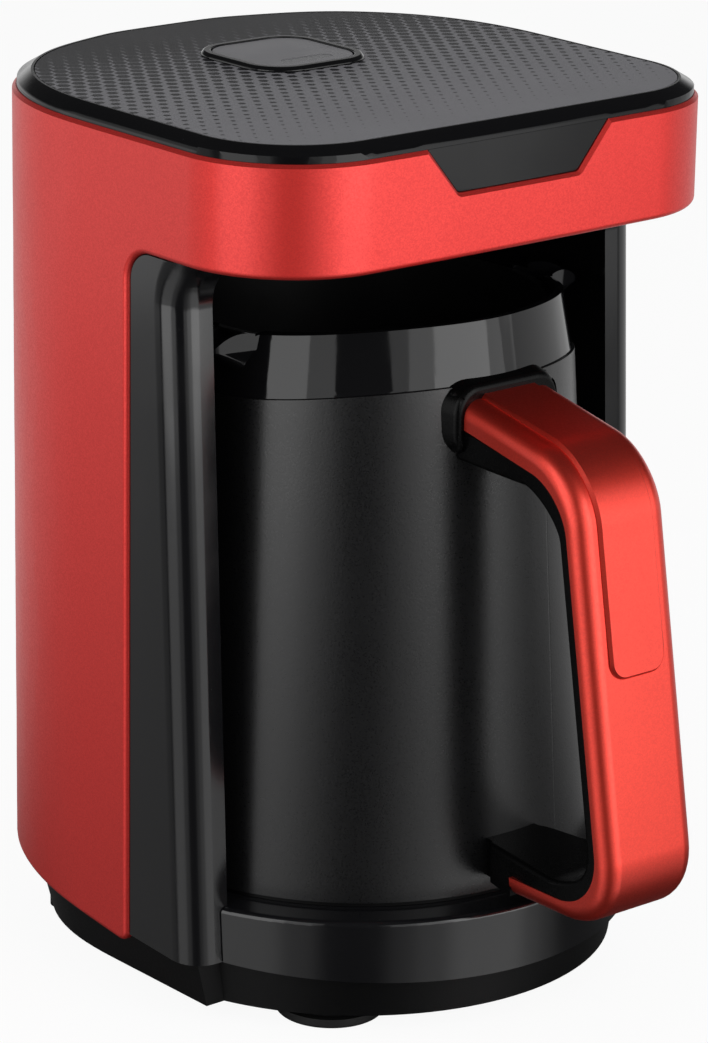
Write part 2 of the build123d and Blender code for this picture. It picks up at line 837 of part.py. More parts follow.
def base_connector():
    """Pod in the middle of the platform that carries the contact pins."""
    under = floor_z - platform_thickness
    pod = disc(pod_radius, under - pod_depth, pod_top_z)
    pod = chamfer(pod.edges().group_by(Axis.Z)[-1], 0.8)
    pod += disc(pod_flange_radius, under - pod_flange_thickness, under)
    shoulder = pod_top_z - pod_roof
    for x, y in pin_places():
        pod -= Pos(x, y, 0) * Cylinder(pin_tail_radius + slide_gap, big, align=standing)
        pod -= Pos(x, y, shoulder) * Cylinder(pin_radius + slide_gap, big, align=standing)
        pocket_depth = pin_collar_height + pin_travel + stop_gap
        pocket = Cylinder(pin_collar_radius + slide_gap, pocket_depth, align=standing)
        pod -= Pos(x, y, shoulder - pocket_depth) * pocket
    return pod


def contact_pins():
    """Three sprung pins that meet the pads under the pot."""
    shoulder = pod_top_z - pod_roof
    tip = pod_top_z + pin_stand
    tail_low = floor_z - platform_thickness - pod_depth
    pins = []
    for x, y in pin_places():
        shank = Cylinder(pin_radius, tip - shoulder, align=standing)
        shank = fillet(shank.edges().group_by(Axis.Z)[-1], pin_radius * 0.6)
        pin = Pos(x, y, shoulder) * shank
        collar = Cylinder(pin_collar_radius, pin_collar_height, align=standing)
        pin += Pos(x, y, shoulder - pin_collar_height) * collar
        pin += Pos(x, y, tail_low) * Cylinder(pin_tail_radius, shoulder - tail_low, align=standing)
        pins.append(pin)
    return Compound(children=pins)


# ---- pot ----
def sleeve_radius(z):
    """Outer radius of the pot's tapered sleeve at one height."""
    share = (z - pot_seat_z) / (pot_shoulder_z - pot_seat_z)
    return pot_bottom_radius + share * (pot_shoulder_radius - pot_bottom_radius)


def pot_sleeve():
    """Matte tapered outer wall of the pot."""
    low = pot_seat_z + pot_foot_height
    high = pot_shoulder_z
    profile = [
        (sleeve_radius(low), low), (sleeve_radius(high), high),
        (sleeve_radius(high) - pot_wall, high), (sleeve_radius(low) - pot_wall, low),
    ]
    sleeve = turned(profile) - above_collar_line(pot_shoulder_z)
    for z in handle_screw_heights():
        sleeve -= screw_bar(z, screw_clear_radius)
    return sleeve


def above_collar_line(z):
    """Everything above a level line at z on the pot's front that dips towards both lips."""
    reach = pot_bottom_radius
    curve = []
    for index in range(-4, 5):
        x = reach * index / 4
        curve.append((x, z - collar_dip * (abs(x) / collar_bottom_radius) ** 3))
    edges = [
        Spline(*curve),
        Line(curve[-1], (reach, big)),
        Line((reach, big), (-reach, big)),
        Line((-reach, big), curve[0]),
    ]
    return extrude(Plane.XZ * make_face(edges), big / 2, both=True)


def pot_base():
    """Floor of the pot: standing ring, recess over the connector and a spigot up the sleeve."""
    low = pot_seat_z
    step = low + pot_foot_height
    top = low + pot_base_height
    floor_top = recess_z + base_wall
    inner_low = sleeve_radius(step) - pot_wall - fit_gap / 2
    inner_top = sleeve_radius(top) - pot_wall - fit_gap / 2
    foot = sleeve_radius(low) - pot_foot_set_back
    profile = [
        (0, recess_z), (recess_radius, recess_z), (recess_radius, low), (foot, low), (foot, step),
        (inner_low, step), (inner_top, top), (inner_top - pot_wall, top), (inner_low - pot_wall, floor_top),
        (0, floor_top),
    ]
    base = turned(profile) - disc(contact_plate_radius + fit_gap / 2, 0, floor_top + 1)
    for x, y in pot_screw_places():
        base -= Pos(x, y, 0) * Cylinder(screw_clear_radius, floor_top + 1, align=standing)
    return base


def pot_screw_places():
    """Three screws round the pot's floor."""
    ring = (recess_radius + contact_plate_radius) / 2
    turns = [2 * math.pi * index / 3 for index in range(3)]
    return [(ring * math.sin(turn), ring * math.cos(turn)) for turn in turns]


def pot_base_screws():
    """Three screws that draw the pot's floor up to the element's clamp."""
    length = clamp_low_z() - recess_z + clamp_thickness
    return Compound(children=[Pos(x, y, recess_z) * screw(length) for x, y in pot_screw_places()])


def collar_radius(z):
    """Outer radius of the collar's cone at one height."""
    share = (z - pot_shoulder_z) / (rim_z - pot_shoulder_z)
    return collar_bottom_radius + share * (rim_radius - collar_bottom_radius)


def pot_collar():
    """Gloss top ring of the pot with a pouring lip on each side."""
    z = pot_shoulder_z
    low = z - 2 * collar_dip
    spigot_low = z - collar_spigot
    inner = cup_top_radius + 2 * fit_gap
    cone = turned([(0, low), (collar_radius(low), low), (rim_radius, rim_z), (0, rim_z)])
    cone = cone & above_collar_line(z + collar_seam)
    spigot_top = sleeve_radius(z) - pot_wall - fit_gap
    spigot = turned([(0, spigot_low), (spigot_top, spigot_low), (spigot_top, z), (0, z)])
    ledge = cup_rim_z - cup_wall
    seat = cup_lip_radius + fit_gap
    cavity = turned([
        (0, spigot_low - 1), (inner, spigot_low - 1), (inner, ledge), (seat, ledge), (seat, big), (0, big),
    ])
    ring = cone + spigot
    for side in (-1, 1):
        ring += spout_scoop(side, 0)
    ring -= cavity
    for side in (-1, 1):
        ring -= spout_scoop(side, spout_wall)
    return ring - above_rim_line()


def above_rim_line():
    """Everything above the rim, which dips towards both lips like the collar's lower edge."""
    return above_collar_line(rim_z) - spout_keep()


def spout_keep():
    """Blocks beyond the rim in which the lips keep their own top line."""
    gap = rim_radius + 2 * rim_round
    block = Box(big, big / 4, 2 * spout_depth, align=(Align.MIN, Align.CENTER, Align.MIN))
    placed = Pos(gap, 0, rim_z - spout_depth) * block
    return spout_place(1) * placed + spout_place(-1) * placed


def spout_place(side):
    """Turn that carries a lip drawn along +X to its place, forward of square to the handle."""
    return Rot(0, 0, -spout_turn) if side > 0 else Rot(0, 0, 180 + spout_turn)


def spout_scoop(side, wall):
    """One pouring lip: a scoop that grows out of the collar to a drooping rounded tip."""
    low = rim_z - spout_depth + 1.5 * wall
    tip_x = spout_tip_radius - spout_tip_round
    mouth_x = rim_radius - spout_mouth_radius
    mouth = make_face(make_hull([
        Pos(mouth_x, 0) * CenterArc((0, 0), spout_mouth_radius - wall, 0, 360),
        Pos(tip_x, 0) * CenterArc((0, 0), spout_tip_round - wall, 0, 360),
    ]).edges())
    foot_x = collar_bottom_radius - spout_foot_radius - spout_inset
    foot = make_face(make_hull([
        Pos(foot_x - spout_tip_round, 0) * CenterArc((0, 0), spout_foot_radius - wall, 0, 360),
        Pos(foot_x, 0) * CenterArc((0, 0), spout_foot_radius - wall - spout_inset, 0, 360),
    ]).edges())
    mouth_z = rim_z - spout_tip_drop + wall / 2
    scoop = loft([Pos(0, 0, low) * foot, Pos(0, 0, mouth_z) * mouth])
    scoop += extrude(Pos(0, 0, mouth_z) * mouth, spout_depth)
    if not wall:
        scoop -= above_lip_line()
    return spout_place(side) * scoop


def above_lip_line():
    """Everything above the arched top line of a lip drawn along +X."""
    root = (rim_radius, rim_z - spout_root_drop)
    crown = ((rim_radius + spout_tip_radius) / 2, rim_z - spout_crown_drop)
    tip = (spout_tip_radius, rim_z - spout_tip_drop)
    edges = [
        Line((0, root[1]), root),
        ThreePointArc(root, crown, tip),
        Line(tip, (2 * tip[0], tip[1])),
        Line((2 * tip[0], tip[1]), (2 * tip[0], big)),
        Line((2 * tip[0], big), (0, big)),
        Line((0, big), (0, root[1])),
    ]
    return extrude(Plane.XZ * make_face(edges), big / 2, both=True)


def inner_cup():
    """Steel cup that holds the coffee, with a rounded floor and a lip on the collar's ledge."""
    solid = cup_solid(0)
    solid = solid - cup_solid(cup_wall)
    lip = tube(cup_lip_radius, cup_top_radius - cup_wall, cup_rim_z - cup_wall, cup_rim_z)
    return solid + lip


def cup_solid(wall):
    """The cup's outer form drawn in by a wall."""
    low = cup_floor_z - cup_wall + wall
    profile = [(0, low), (cup_floor_radius - wall, low), (cup_top_radius - wall, cup_rim_z), (0, cup_rim_z)]
    form = turned(profile)
    return fillet(form.edges().group_by(Axis.Z)[0], cup_corner_radius - wall)


def heat_spreader():
    """Aluminium plate against the cup's floor."""
    top = cup_floor_z - cup_wall
    return disc(spreader_radius, top - spreader_thickness, top)


def heating_element():
    """Sheathed ring element under the spreader, with its two cold ends turned down."""
    z = cup_floor_z - cup_wall - spreader_thickness - element_tube_radius
    section = Plane.XZ * (Pos(element_ring_radius, z) * Circle(element_tube_radius))
    ring = revolve(section, Axis.Z, element_arc)
    for angle in (0, element_arc):
        leg = Cylinder(element_tube_radius * 0.6, element_leg, align=hanging)
        ring += Rot(0, 0, angle) * (Pos(element_ring_radius, 0, z) * leg)
        ring += Rot(0, 0, angle) * (Pos(element_ring_radius, 0, z) * Sphere(element_tube_radius))
    return ring


def clamp_low_z():
    """Underside of the element's clamp."""
    element_low = cup_floor_z - cup_wall - spreader_thickness - 2 * element_tube_radius
    return element_low - clamp_thickness


def element_clamp():
    """Steel ring that presses the element up, with three ears for the floor screws."""
    low = clamp_low_z()
    plate = disc(clamp_radius, low, low + clamp_thickness)
    for x, y in pot_screw_places():
        ear = Pos(x, y, low) * Cylinder(clamp_stud_radius + 1.5, clamp_thickness, align=standing)
        post_low = recess_z + base_wall
        post = Pos(x, y, post_low) * Cylinder(clamp_stud_radius, low - post_low, align=standing)
        web = Pos(x / 2, y / 2, low) * Rot(0, 0, math.degrees(math.atan2(y, x)))
        web = web * Box(math.hypot(x, y), 2 * clamp_stud_radius, clamp_thickness, align=standing)
        plate += ear + post + web
        plate -= Pos(x, y, 0) * Cylinder(screw_shank_radius + thread_gap, big, align=standing)
    plate -= disc(thermostat_radius + 4, 0, big)
    for angle in (0, element_arc):
        hole = Pos(element_ring_radius, 0, 0) * Cylinder(element_tube_radius + 0.6, big, align=standing)
        plate -= Rot(0, 0, angle) * hole
    return plate


def thermostat():
    """Cut-out thermostat against the middle of the spreader."""
    top = cup_floor_z - cup_wall - spreader_thickness
    body = disc(thermostat_radius, top - thermostat_height, top)
    for side in (-1, 1):
        blade = Box(*blade_size, align=hanging)
        body += Pos(0, side * thermostat_radius / 2, top - thermostat_height) * blade
    return body


def thermal_fuse():
    """Thermal fuse that lies against the spreader beside the thermostat."""
    top = cup_floor_z - cup_wall - spreader_thickness
    bar = Rot(0, 90, 0) * Cylinder(fuse_radius, fuse_length)
    return Pos(0, thermostat_radius + 2 * fuse_radius, top - fuse_radius) * bar


def pot_connector():
    """Plastic plate in the pot's floor that holds the three contact pads."""
    low = recess_z
    floor_top = recess_z + base_wall
    plate = disc(contact_plate_radius, low, floor_top)
    plate += disc(contact_plate_radius + contact_flange, floor_top, floor_top + 1.6)
    for x, y in pin_places():
        plate -= Pos(x, y, 0) * Cylinder(pad_radius + pad_gap, low + pad_thickness, align=standing)
    return plate


def contact_pads():
    """Three brass pads that the sprung pins touch."""
    low = recess_z
    pad = Cylinder(pad_radius, pad_thickness, align=standing)
    return Compound(children=[Pos(x, y, low) * pad for x, y in pin_places()])


# ---- handle ----
def front_line(z, depth):
    """y of the handle's leaning front face at one height, drawn in by a depth."""
    lean = math.radians(handle_lean)
    centre_y = -handle_reach + handle_bottom_radius
    centre_z = handle_bottom_z + handle_bottom_radius
    return centre_y + math.tan(lean) * (z - centre_z) - (handle_bottom_radius - depth) / math.cos(lean)


def arm_line(y, depth):
    """z of the upper arm's sloping top face at one y, drawn in by a depth."""
    slope = math.radians(handle_arm_slope)
    root_z = pot_shoulder_z - handle_root_drop
    return root_z + math.tan(slope) * (y - cover_root_y) - depth * handle_arm_share / math.cos(slope)


def arm_corner(depth, lower=0):
    """Where the upper arm's face meets the front face, both drawn in by a depth."""
    lean = math.tan(math.radians(handle_lean))
    slope = math.tan(math.radians(handle_arm_slope))
    start = front_line(0, depth)
    rise = arm_line(0, depth) - lower
    y = (start + lean * rise) / (1 - lean * slope)
    return (y, arm_line(y, depth) - lower)


def parting_points():
    """Line where the red cover meets the black grip, from the upper root to the lower tip."""
    depth = handle_cover_depth
    low = handle_bottom_z + cover_tip_rise
    return [
        (cover_root_y, arm_line(cover_root_y, depth)),
        arm_corner(depth),
        (front_line(low, depth), low),
        (cover_tip_y, low),
    ]


def handle_outline():
    """Side outline of the whole handle, from the upper root round to the lower root."""
    root_y = cover_root_y + handle_cover_depth
    return [
        (root_y, arm_line(root_y, 0)), arm_corner(0),
        (front_line(handle_bottom_z, 0), handle_bottom_z), (root_y, handle_bottom_z),
    ]


def handle_block():
    """Everything inside the handle's outer outline, with its long outer edges rounded."""
    rounds = [(1, handle_top_radius), (2, handle_bottom_radius)]
    block = side_prism(handle_outline(), rounds, handle_width / 2)
    root_y = cover_root_y + handle_cover_depth
    long_edges = [
        e for e in block.edges()
        if abs(abs(e.center().X) - handle_width / 2) < 0.01 and abs(e.center().Y - root_y) > 0.01
    ]
    return fillet(long_edges, handle_edge_round)


def grip_zone():
    """Everything on the pot's side of the line where the cover meets the grip."""
    below = handle_bottom_z - 10
    inside = parting_points() + [(cover_tip_y, below), (0, below), (0, big), (cover_root_y, big)]
    return side_prism(inside, [(1, parting_round), (2, lower_parting_round), (3, cover_tip_round)])


def cover_blank():
    """The cover before the recess for the inlay is cut."""
    return handle_block() - grip_zone()


def handle_cover():
    """Painted outer half of the handle with the recess for the inlay."""
    return cover_blank() - inlay_solid(0)


def inlay_solid(clearance):
    """Raised panel let into the cover's outer face, from the upper root down the front."""
    out = -inlay_rise
    depth = inlay_seat
    outer = [
        (cover_root_y, arm_line(cover_root_y, out)), arm_corner(out),
        (front_line(inlay_bottom_z, out), inlay_bottom_z),
    ]
    inner = [
        (front_line(inlay_bottom_z, depth), inlay_bottom_z), arm_corner(depth),
        (cover_root_y, arm_line(cover_root_y, depth)),
    ]
    rounds = [(1, handle_top_radius + inlay_rise), (4, handle_top_radius - inlay_seat)]
    panel = side_prism(outer + inner, rounds, inlay_width / 2 - clearance)
    low = panel.edges().filter_by(Axis.X, reverse=True).group_by(Axis.Z)[0]
    return fillet(low, inlay_corner_radius)


def handle_inlay():
    """The raised inlay as a piece of its own."""
    return inlay_solid(inlay_gap)


def handle_grip():
    """Black inner half of the handle with the bosses that meet the pot."""
    arms = side_prism(handle_outline(), [], handle_width / 2) & grip_zone()
    arms -= grip_opening()
    inner = [
        e for e in arms.edges()
        if abs(abs(e.center().X) - handle_width / 2) < 0.01 and on_opening(e.position_at(0.5))
    ]
    arms = fillet(inner, liner_edge_round) - lower_neck_cut()
    grip = arms + upper_boss() - pot_envelope()
    for z in handle_screw_heights():
        grip -= screw_bar(z, screw_shank_radius + thread_gap)
    return grip


def grip_opening():
    """The finger gap between the grip and the pot."""
    low = handle_bottom_z + lower_arm_height
    depth = handle_cover_depth + handle_liner_depth
    lower = handle_arm_liner - handle_liner_depth * handle_arm_share
    points = [
        (0, low), (front_line(low, depth), low),
        arm_corner(depth, lower), (0, arm_line(0, depth) - lower),
    ]
    return side_prism(points, [(1, lower_arm_round), (2, parting_round)])


def on_opening(point):
    """Whether a point lies on the boundary of the finger gap."""
    face = grip_opening() & Pos(point.X, 0, 0) * Plane.YZ.location * Rectangle(2 * big, 2 * big)
    return min(wire.distance_to(point) for wire in face.wires()) < 0.01


def lower_neck_cut():
    """Space on both sides of the lower root, where it narrows behind the cover's tip."""
    inner = lower_neck_half_width
    outer = handle_width
    points = [(inner, 0), (inner, lower_neck_y), (outer, lower_neck_y), (outer, 0)]
    face = make_face(Polyline(*points, close=True))
    face = fillet(face.vertices().sort_by_distance((inner, lower_neck_y, 0))[0], lower_neck_round)
    cut = extrude(face, handle_bottom_z + 2 * lower_arm_height)
    return cut + mirror(cut, Plane.YZ)


def upper_boss():
    """Broad drafted root of the upper arm that wraps the end of the cover."""
    outline = RectangleRounded(2 * boss_half_width, boss_height, boss_corner_radius)
    boss = extrude(outline, boss_start_y - boss_front_y, taper=boss_draft)
    boss = fillet(boss.edges().group_by(Axis.Z)[-1], boss_edge_round)
    boss += extrude(outline, boss_front_y - boss_start_y)
    top = arm_line(cover_root_y, 0) + boss_rise
    return Pos(0, boss_start_y, top - boss_height / 2) * Rot(90, 0, 0) * boss - cover_blank()


def pot_envelope():
    """Everything inside the pot's outer surface."""
    low = pot_seat_z
    z = pot_shoulder_z
    return turned([
        (0, low - 20), (sleeve_radius(low), low - 20), (sleeve_radius(low), low), (sleeve_radius(z), z),
        (sleeve_radius(z), big), (0, big),
    ])


def handle_screw_heights():
    """Heights of the two screws that hold the handle from inside the sleeve."""
    above = arm_line(cover_root_y - handle_screw_length / 2, handle_cover_depth)
    return (above - handle_screw_gap, handle_bottom_z + handle_screw_rise)


def screw_bar(z, radius):
    """A round bar along one handle screw."""
    return Pos(0, -sleeve_radius(z), z) * Rot(90, 0, 0) * Cylinder(radius, 2 * handle_screw_length)


def handle_screws():
    """Two screws from inside the sleeve into the handle's bosses."""
    made = []
    for z in handle_screw_heights():
        seat_y = -(sleeve_radius(z) - pot_wall) + handle_screw_seat
        made.append(Pos(0, seat_y, z) * Rot(90, 0, 0) * screw(handle_screw_length))
    return Compound(children=made)


PARTS = {
    "outer_shell": outer_shell,
    "bay_housing": bay_housing,
    "bay_ceiling": bay_ceiling,
    "platform": platform,
    "base_plate": base_plate,
    "rubber_feet": rubber_feet,
    "base_screws": base_screws,
    "ceiling_screws": ceiling_screws,
    "cord_gland": cord_gland,
    "top_bezel": top_bezel,
    "top_panel": top_panel,
    "button_bezel": button_bezel,
    "start_button": start_button,
    "button_light": button_light,
    "switch_plunger": switch_plunger,
    "tact_switch": tact_switch,
    "control_board": control_board,
    "board_screws": board_screws,
    "relay": relay,
    "transformer": transformer,
    "buzzer": buzzer,
    "sensor_window": sensor_window,
    "boil_sensor": boil_sensor,
    "base_connector": base_connector,
    "contact_pins": contact_pins,
    "pot_sleeve": pot_sleeve,
    "pot_collar": pot_collar,
    "inner_cup": inner_cup,
    "pot_base": pot_base,
    "pot_base_screws": pot_base_screws,
    "heat_spreader": heat_spreader,
    "heating_element": heating_element,
    "element_clamp": element_clamp,
    "thermostat": thermostat,
    "thermal_fuse": thermal_fuse,
    "pot_connector": pot_connector,
    "contact_pads": contact_pads,
    "handle_grip": handle_grip,
    "handle_cover": handle_cover,
    "handle_inlay": handle_inlay,
    "handle_screws": handle_screws,
}

for node, maker in PARTS.items():
    save(node, maker())
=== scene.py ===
"""Looks of an electric Turkish coffee maker: a red C-shaped body, a black bay and a lift-off pot."""

import logging
import math
from dataclasses import dataclass, field
from enum import Enum
from typing import Any, Iterable, Optional, Sequence, Union

import bmesh
import bpy
from bmesh.types import BMEdge, BMesh, BMVert
from bpy.types import Material, Node, NodeSocket, NodeTree, Object
from mathutils import Matrix, Vector


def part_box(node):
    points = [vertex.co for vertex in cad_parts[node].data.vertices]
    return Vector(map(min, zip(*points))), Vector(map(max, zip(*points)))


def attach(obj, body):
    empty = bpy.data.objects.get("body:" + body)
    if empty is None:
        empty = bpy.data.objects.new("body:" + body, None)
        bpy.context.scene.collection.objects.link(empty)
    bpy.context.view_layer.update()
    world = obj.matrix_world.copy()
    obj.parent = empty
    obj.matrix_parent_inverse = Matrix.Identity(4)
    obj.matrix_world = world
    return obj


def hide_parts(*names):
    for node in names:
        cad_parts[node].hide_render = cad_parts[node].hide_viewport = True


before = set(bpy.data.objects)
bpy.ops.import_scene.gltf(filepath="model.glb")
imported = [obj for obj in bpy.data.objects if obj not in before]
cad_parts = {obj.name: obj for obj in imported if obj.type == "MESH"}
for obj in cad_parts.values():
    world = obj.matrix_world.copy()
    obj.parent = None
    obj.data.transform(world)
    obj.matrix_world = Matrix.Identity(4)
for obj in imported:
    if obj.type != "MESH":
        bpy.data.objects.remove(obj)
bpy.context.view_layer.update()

log = logging.getLogger("coffee_maker")

Colour = tuple[float, float, float]
Span = tuple[float, float]

MM = 0.001
WELD = 1e-5
SAME = 1e-6
WHITE: Colour = (1.0, 1.0, 1.0)
VIEW_AZIMUTH = -40.24
SLEEVE_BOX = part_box("pot_sleeve")
POT_AXIS_Y = (SLEEVE_BOX[0][1] + SLEEVE_BOX[1][1]) / 2


# ---- shader maths
class Val:
    """A number or vector socket whose Python operators add Math nodes."""

    def __init__(self, nodes: "Nodes", socket: NodeSocket) -> None:
        """Wrap one output socket.

        Args:
            nodes: The node tree that owns the socket.
            socket: The output socket.
        """
        self.nodes = nodes
        self.socket = socket

    def math(self, operation: str, *others: Any, flip: bool = False) -> "Val":
        """Add one Math node.

        Args:
            operation: The Math node's operation.
            others: The node's further inputs, as sockets or numbers.
            flip: Whether this socket goes into the second input.

        Returns:
            The node's value.
        """
        values: list[Any] = [self, *others]
        if flip:
            values.reverse()
        return self.nodes.value(self.nodes.node("ShaderNodeMath", {"operation": operation}, dict(enumerate(values))))

    def __add__(self, other: Any) -> "Val":
        """Sum."""
        return self.math("ADD", other)

    __radd__ = __add__

    def __mul__(self, other: Any) -> "Val":
        """Product."""
        return self.math("MULTIPLY", other)

    def __sub__(self, other: Any) -> "Val":
        """Difference."""
        return self.math("SUBTRACT", other)

    def __rsub__(self, other: Any) -> "Val":
        """Difference from a number."""
        return self.math("SUBTRACT", other, flip=True)

    def __truediv__(self, other: Any) -> "Val":
        """Quotient."""
        return self.math("DIVIDE", other)

    def __pow__(self, other: Any) -> "Val":
        """Power."""
        return self.math("POWER", other)

    def absolute(self) -> "Val":
        """Absolute value."""
        return self.math("ABSOLUTE")

    def fraction(self) -> "Val":
        """Part after the point."""
        return self.math("FRACT")

    def least(self, other: Any) -> "Val":
        """Smaller of two values."""
        return self.math("MINIMUM", other)

    def most(self, other: Any) -> "Val":
        """Larger of two values."""
        return self.math("MAXIMUM", other)

    def swing(self, amount: float) -> "Val":
        """A factor from 0 to 1 as a swing about zero, this much from end to end."""
        return (self - 0.5) * amount

    def between(self, low: float, high: float, start: float = 0.0, end: float = 1.0, smooth: bool = True) -> "Val":
        """Map a range of this value to another range, clamped.

        Args:
            low: Where the range starts.
            high: Where the range ends.
            start: The result at low.
            end: The result at high.
            smooth: Whether the step is eased.

        Returns:
            The mapped value.
        """
        kind = "SMOOTHSTEP" if smooth else "LINEAR"
        inputs = {"Value": self, "From Min": low, "From Max": high, "To Min": start, "To Max": end}
        node = self.nodes.node("ShaderNodeMapRange", {"interpolation_type": kind}, inputs)
        return self.nodes.value(node, "Result")


class Nodes:
    """The node tree of a material or a world, with a single method that adds any node."""

    def __init__(self, tree: NodeTree, output: str) -> None:
        """Empty the tree but for its output.

        Args:
            tree: The node tree.
            output: The type of its output node.
        """
        self.tree = tree
        self.tree.nodes.clear()
        self.output = self.node(output)

    def node(self, kind: str, settings: Optional[dict[str, Any]] = None,
             inputs: Optional[dict[Any, Any]] = None) -> Node:
        """Add a node.

        Args:
            kind: The node's type.
            settings: Properties set before the sockets.
            inputs: Values or links for the input sockets, by name or index.

        Returns:
            The new node.
        """
        made = self.tree.nodes.new(kind)
        for key, value in (settings or {}).items():
            setattr(made, key, value)
        for key, value in (inputs or {}).items():
            socket = made.inputs[key]
            if isinstance(value, Val):
                self.tree.links.new(value.socket, socket)
            elif isinstance(value, tuple) and len(value) == 3 and len(socket.default_value) == 4:
                socket.default_value = (*value, 1.0)
            else:
                socket.default_value = value
        return made

    def value(self, node: Node, output: Union[int, str] = 0) -> Val:
        """One output of a node as a value."""
        return Val(self, node.outputs[output])

    def blend(self, factor: Any, first: Node, second: Node) -> Node:
        """Mix two shaders: a factor of 0 gives the first and 1 the second."""
        inputs = {0: factor, 1: self.value(first), 2: self.value(second)}
        return self.node("ShaderNodeMixShader", None, inputs)

    def close(self, last: Node) -> None:
        """Link the last shader to the output."""
        self.tree.links.new(last.outputs[0], self.output.inputs[0])


class Shader(Nodes):
    """One material under construction."""

    def __init__(self, name: str) -> None:
        """Start an empty material.

        Args:
            name: The material's name.
        """
        self.material = bpy.data.materials.new(name)
        self.material.use_nodes = True
        super().__init__(self.material.node_tree, "ShaderNodeOutputMaterial")

    def place(self) -> Val:
        """Object coordinates, which are the row frame's metres."""
        return self.value(self.node("ShaderNodeTexCoord"), "Object")

    def axes(self) -> tuple[Val, Val]:
        """The object coordinates x and y as separate values."""
        split = self.node("ShaderNodeSeparateXYZ", None, {0: self.place()})
        return self.value(split, 0), self.value(split, 1)

    def noise(self, size: float, detail: float = 2.0, stretch: tuple[float, float, float] = (1, 1, 1)) -> Val:
        """Noise whose grains are about one size across.

        Args:
            size: Grain size in metres.
            detail: The noise's detail.
            stretch: Scale of the pattern along each axis.

        Returns:
            The noise factor, about 0.5 on average.
        """
        scaled = self.node("ShaderNodeMapping", {"vector_type": "POINT"}, {"Vector": self.place(), "Scale": stretch})
        inputs = {"Vector": self.value(scaled), "Scale": 1.0 / size, "Detail": detail}
        return self.value(self.node("ShaderNodeTexNoise", None, inputs))

    def cells(self, size: float, feature: str = "F1", output: str = "Distance") -> Val:
        """One output of a Voronoi pattern with cells about one size across."""
        inputs = {"Vector": self.place(), "Scale": 1.0 / size}
        return self.value(self.node("ShaderNodeTexVoronoi", {"feature": feature}, inputs), output)

    def mix(self, factor: Any, first: Any, second: Any) -> Val:
        """Mix two colours.

        Args:
            factor: 0 gives the first colour and 1 the second.
            first: A colour or a colour socket.
            second: A colour or a colour socket.

        Returns:
            The mixed colour.
        """
        return self.value(self.node("ShaderNodeMix", {"data_type": "RGBA"}, {0: factor, 6: first, 7: second}), 2)

    def bump(self, height: Val, distance: float, strength: float) -> Val:
        """A bumped normal.

        Args:
            height: Height from 0 to 1.
            distance: Real height in metres of a rise of 1.
            strength: How much of the bump shows.

        Returns:
            The normal.
        """
        inputs = {"Height": height, "Distance": distance, "Strength": strength}
        return self.value(self.node("ShaderNodeBump", None, inputs))

    def finish(self, **inputs: Any) -> Material:
        """Close the material with one Principled surface.

        Args:
            inputs: Principled inputs with spaces written as underscores.

        Returns:
            The material.
        """
        named = {key.replace("_", " "): value for key, value in inputs.items()}
        self.close(self.node("ShaderNodeBsdfPrincipled", None, named))
        return self.material


# ---- finishes
@dataclass(frozen=True)
class Lacquer:
    """Satin metallic lacquer with fine flakes under a thin clear coat."""

    name: str
    colour: Colour = (0.88, 0.060, 0.050)
    deep: Colour = (0.72, 0.036, 0.033)
    metallic: float = 0.92
    roughness: float = 0.53
    flake: float = 0.00035
    flake_share: float = 0.55
    cloud: float = 0.035
    cloud_share: float = 0.12
    peel: float = 0.0016
    relief: float = 0.00001
    coat: float = 0.45
    coat_roughness: float = 0.26

    def make(self) -> Material:
        """Build the material."""
        s = Shader(self.name)
        flakes = s.cells(self.flake, output="Color")
        sparkle = s.value(s.node("ShaderNodeSeparateColor", None, {0: flakes}))
        cloud = s.noise(self.cloud, 3.0)
        tone = s.mix(sparkle.between(0.0, 1.0, 0.0, self.flake_share, smooth=False), self.colour, self.deep)
        tone = s.mix(cloud.between(0.35, 0.7, 0.0, self.cloud_share), tone, self.deep)
        rough = self.roughness + sparkle.swing(0.10) + cloud.swing(0.06)
        height = sparkle * 0.5 + s.noise(self.peel) * 0.5
        return s.finish(Base_Color=tone, Roughness=rough, Metallic=self.metallic,
                        Normal=s.bump(height, self.relief, 0.35),
                        Coat_Weight=self.coat, Coat_Roughness=self.coat_roughness)


@dataclass(frozen=True)
class GlossMoulding:
    """Polished moulded plastic with faint orange peel, hairlines and a little dust."""

    name: str
    colour: Colour = (0.0035, 0.0035, 0.0040)
    roughness: float = 0.07
    level: float = 0.5
    cloud: float = 0.020
    hair: float = 0.0006
    dust: float = 0.004
    dust_colour: Colour = (0.25, 0.25, 0.25)
    dust_share: float = 0.03
    dust_roughness: float = 0.15
    peel: float = 0.0035
    relief: float = 0.000004

    def make(self) -> Material:
        """Build the material."""
        s = Shader(self.name)
        cloud = s.noise(self.cloud, 3.0)
        hair = s.noise(self.hair, 2.0, (1.0, 1.0, 0.05))
        speck = s.cells(self.dust).between(0.02, 0.05, 1.0, 0.0)
        rough = self.roughness + cloud.between(0.4, 0.75, 0.0, 0.05) + hair.between(0.62, 0.8, 0.0, 0.06)
        tone = s.mix(speck * self.dust_share, self.colour, self.dust_colour)
        normal = s.bump(s.noise(self.peel, 1.0), self.relief, 0.25)
        return s.finish(Base_Color=tone, Roughness=rough + speck * self.dust_roughness, Normal=normal,
                        Specular_IOR_Level=self.level)


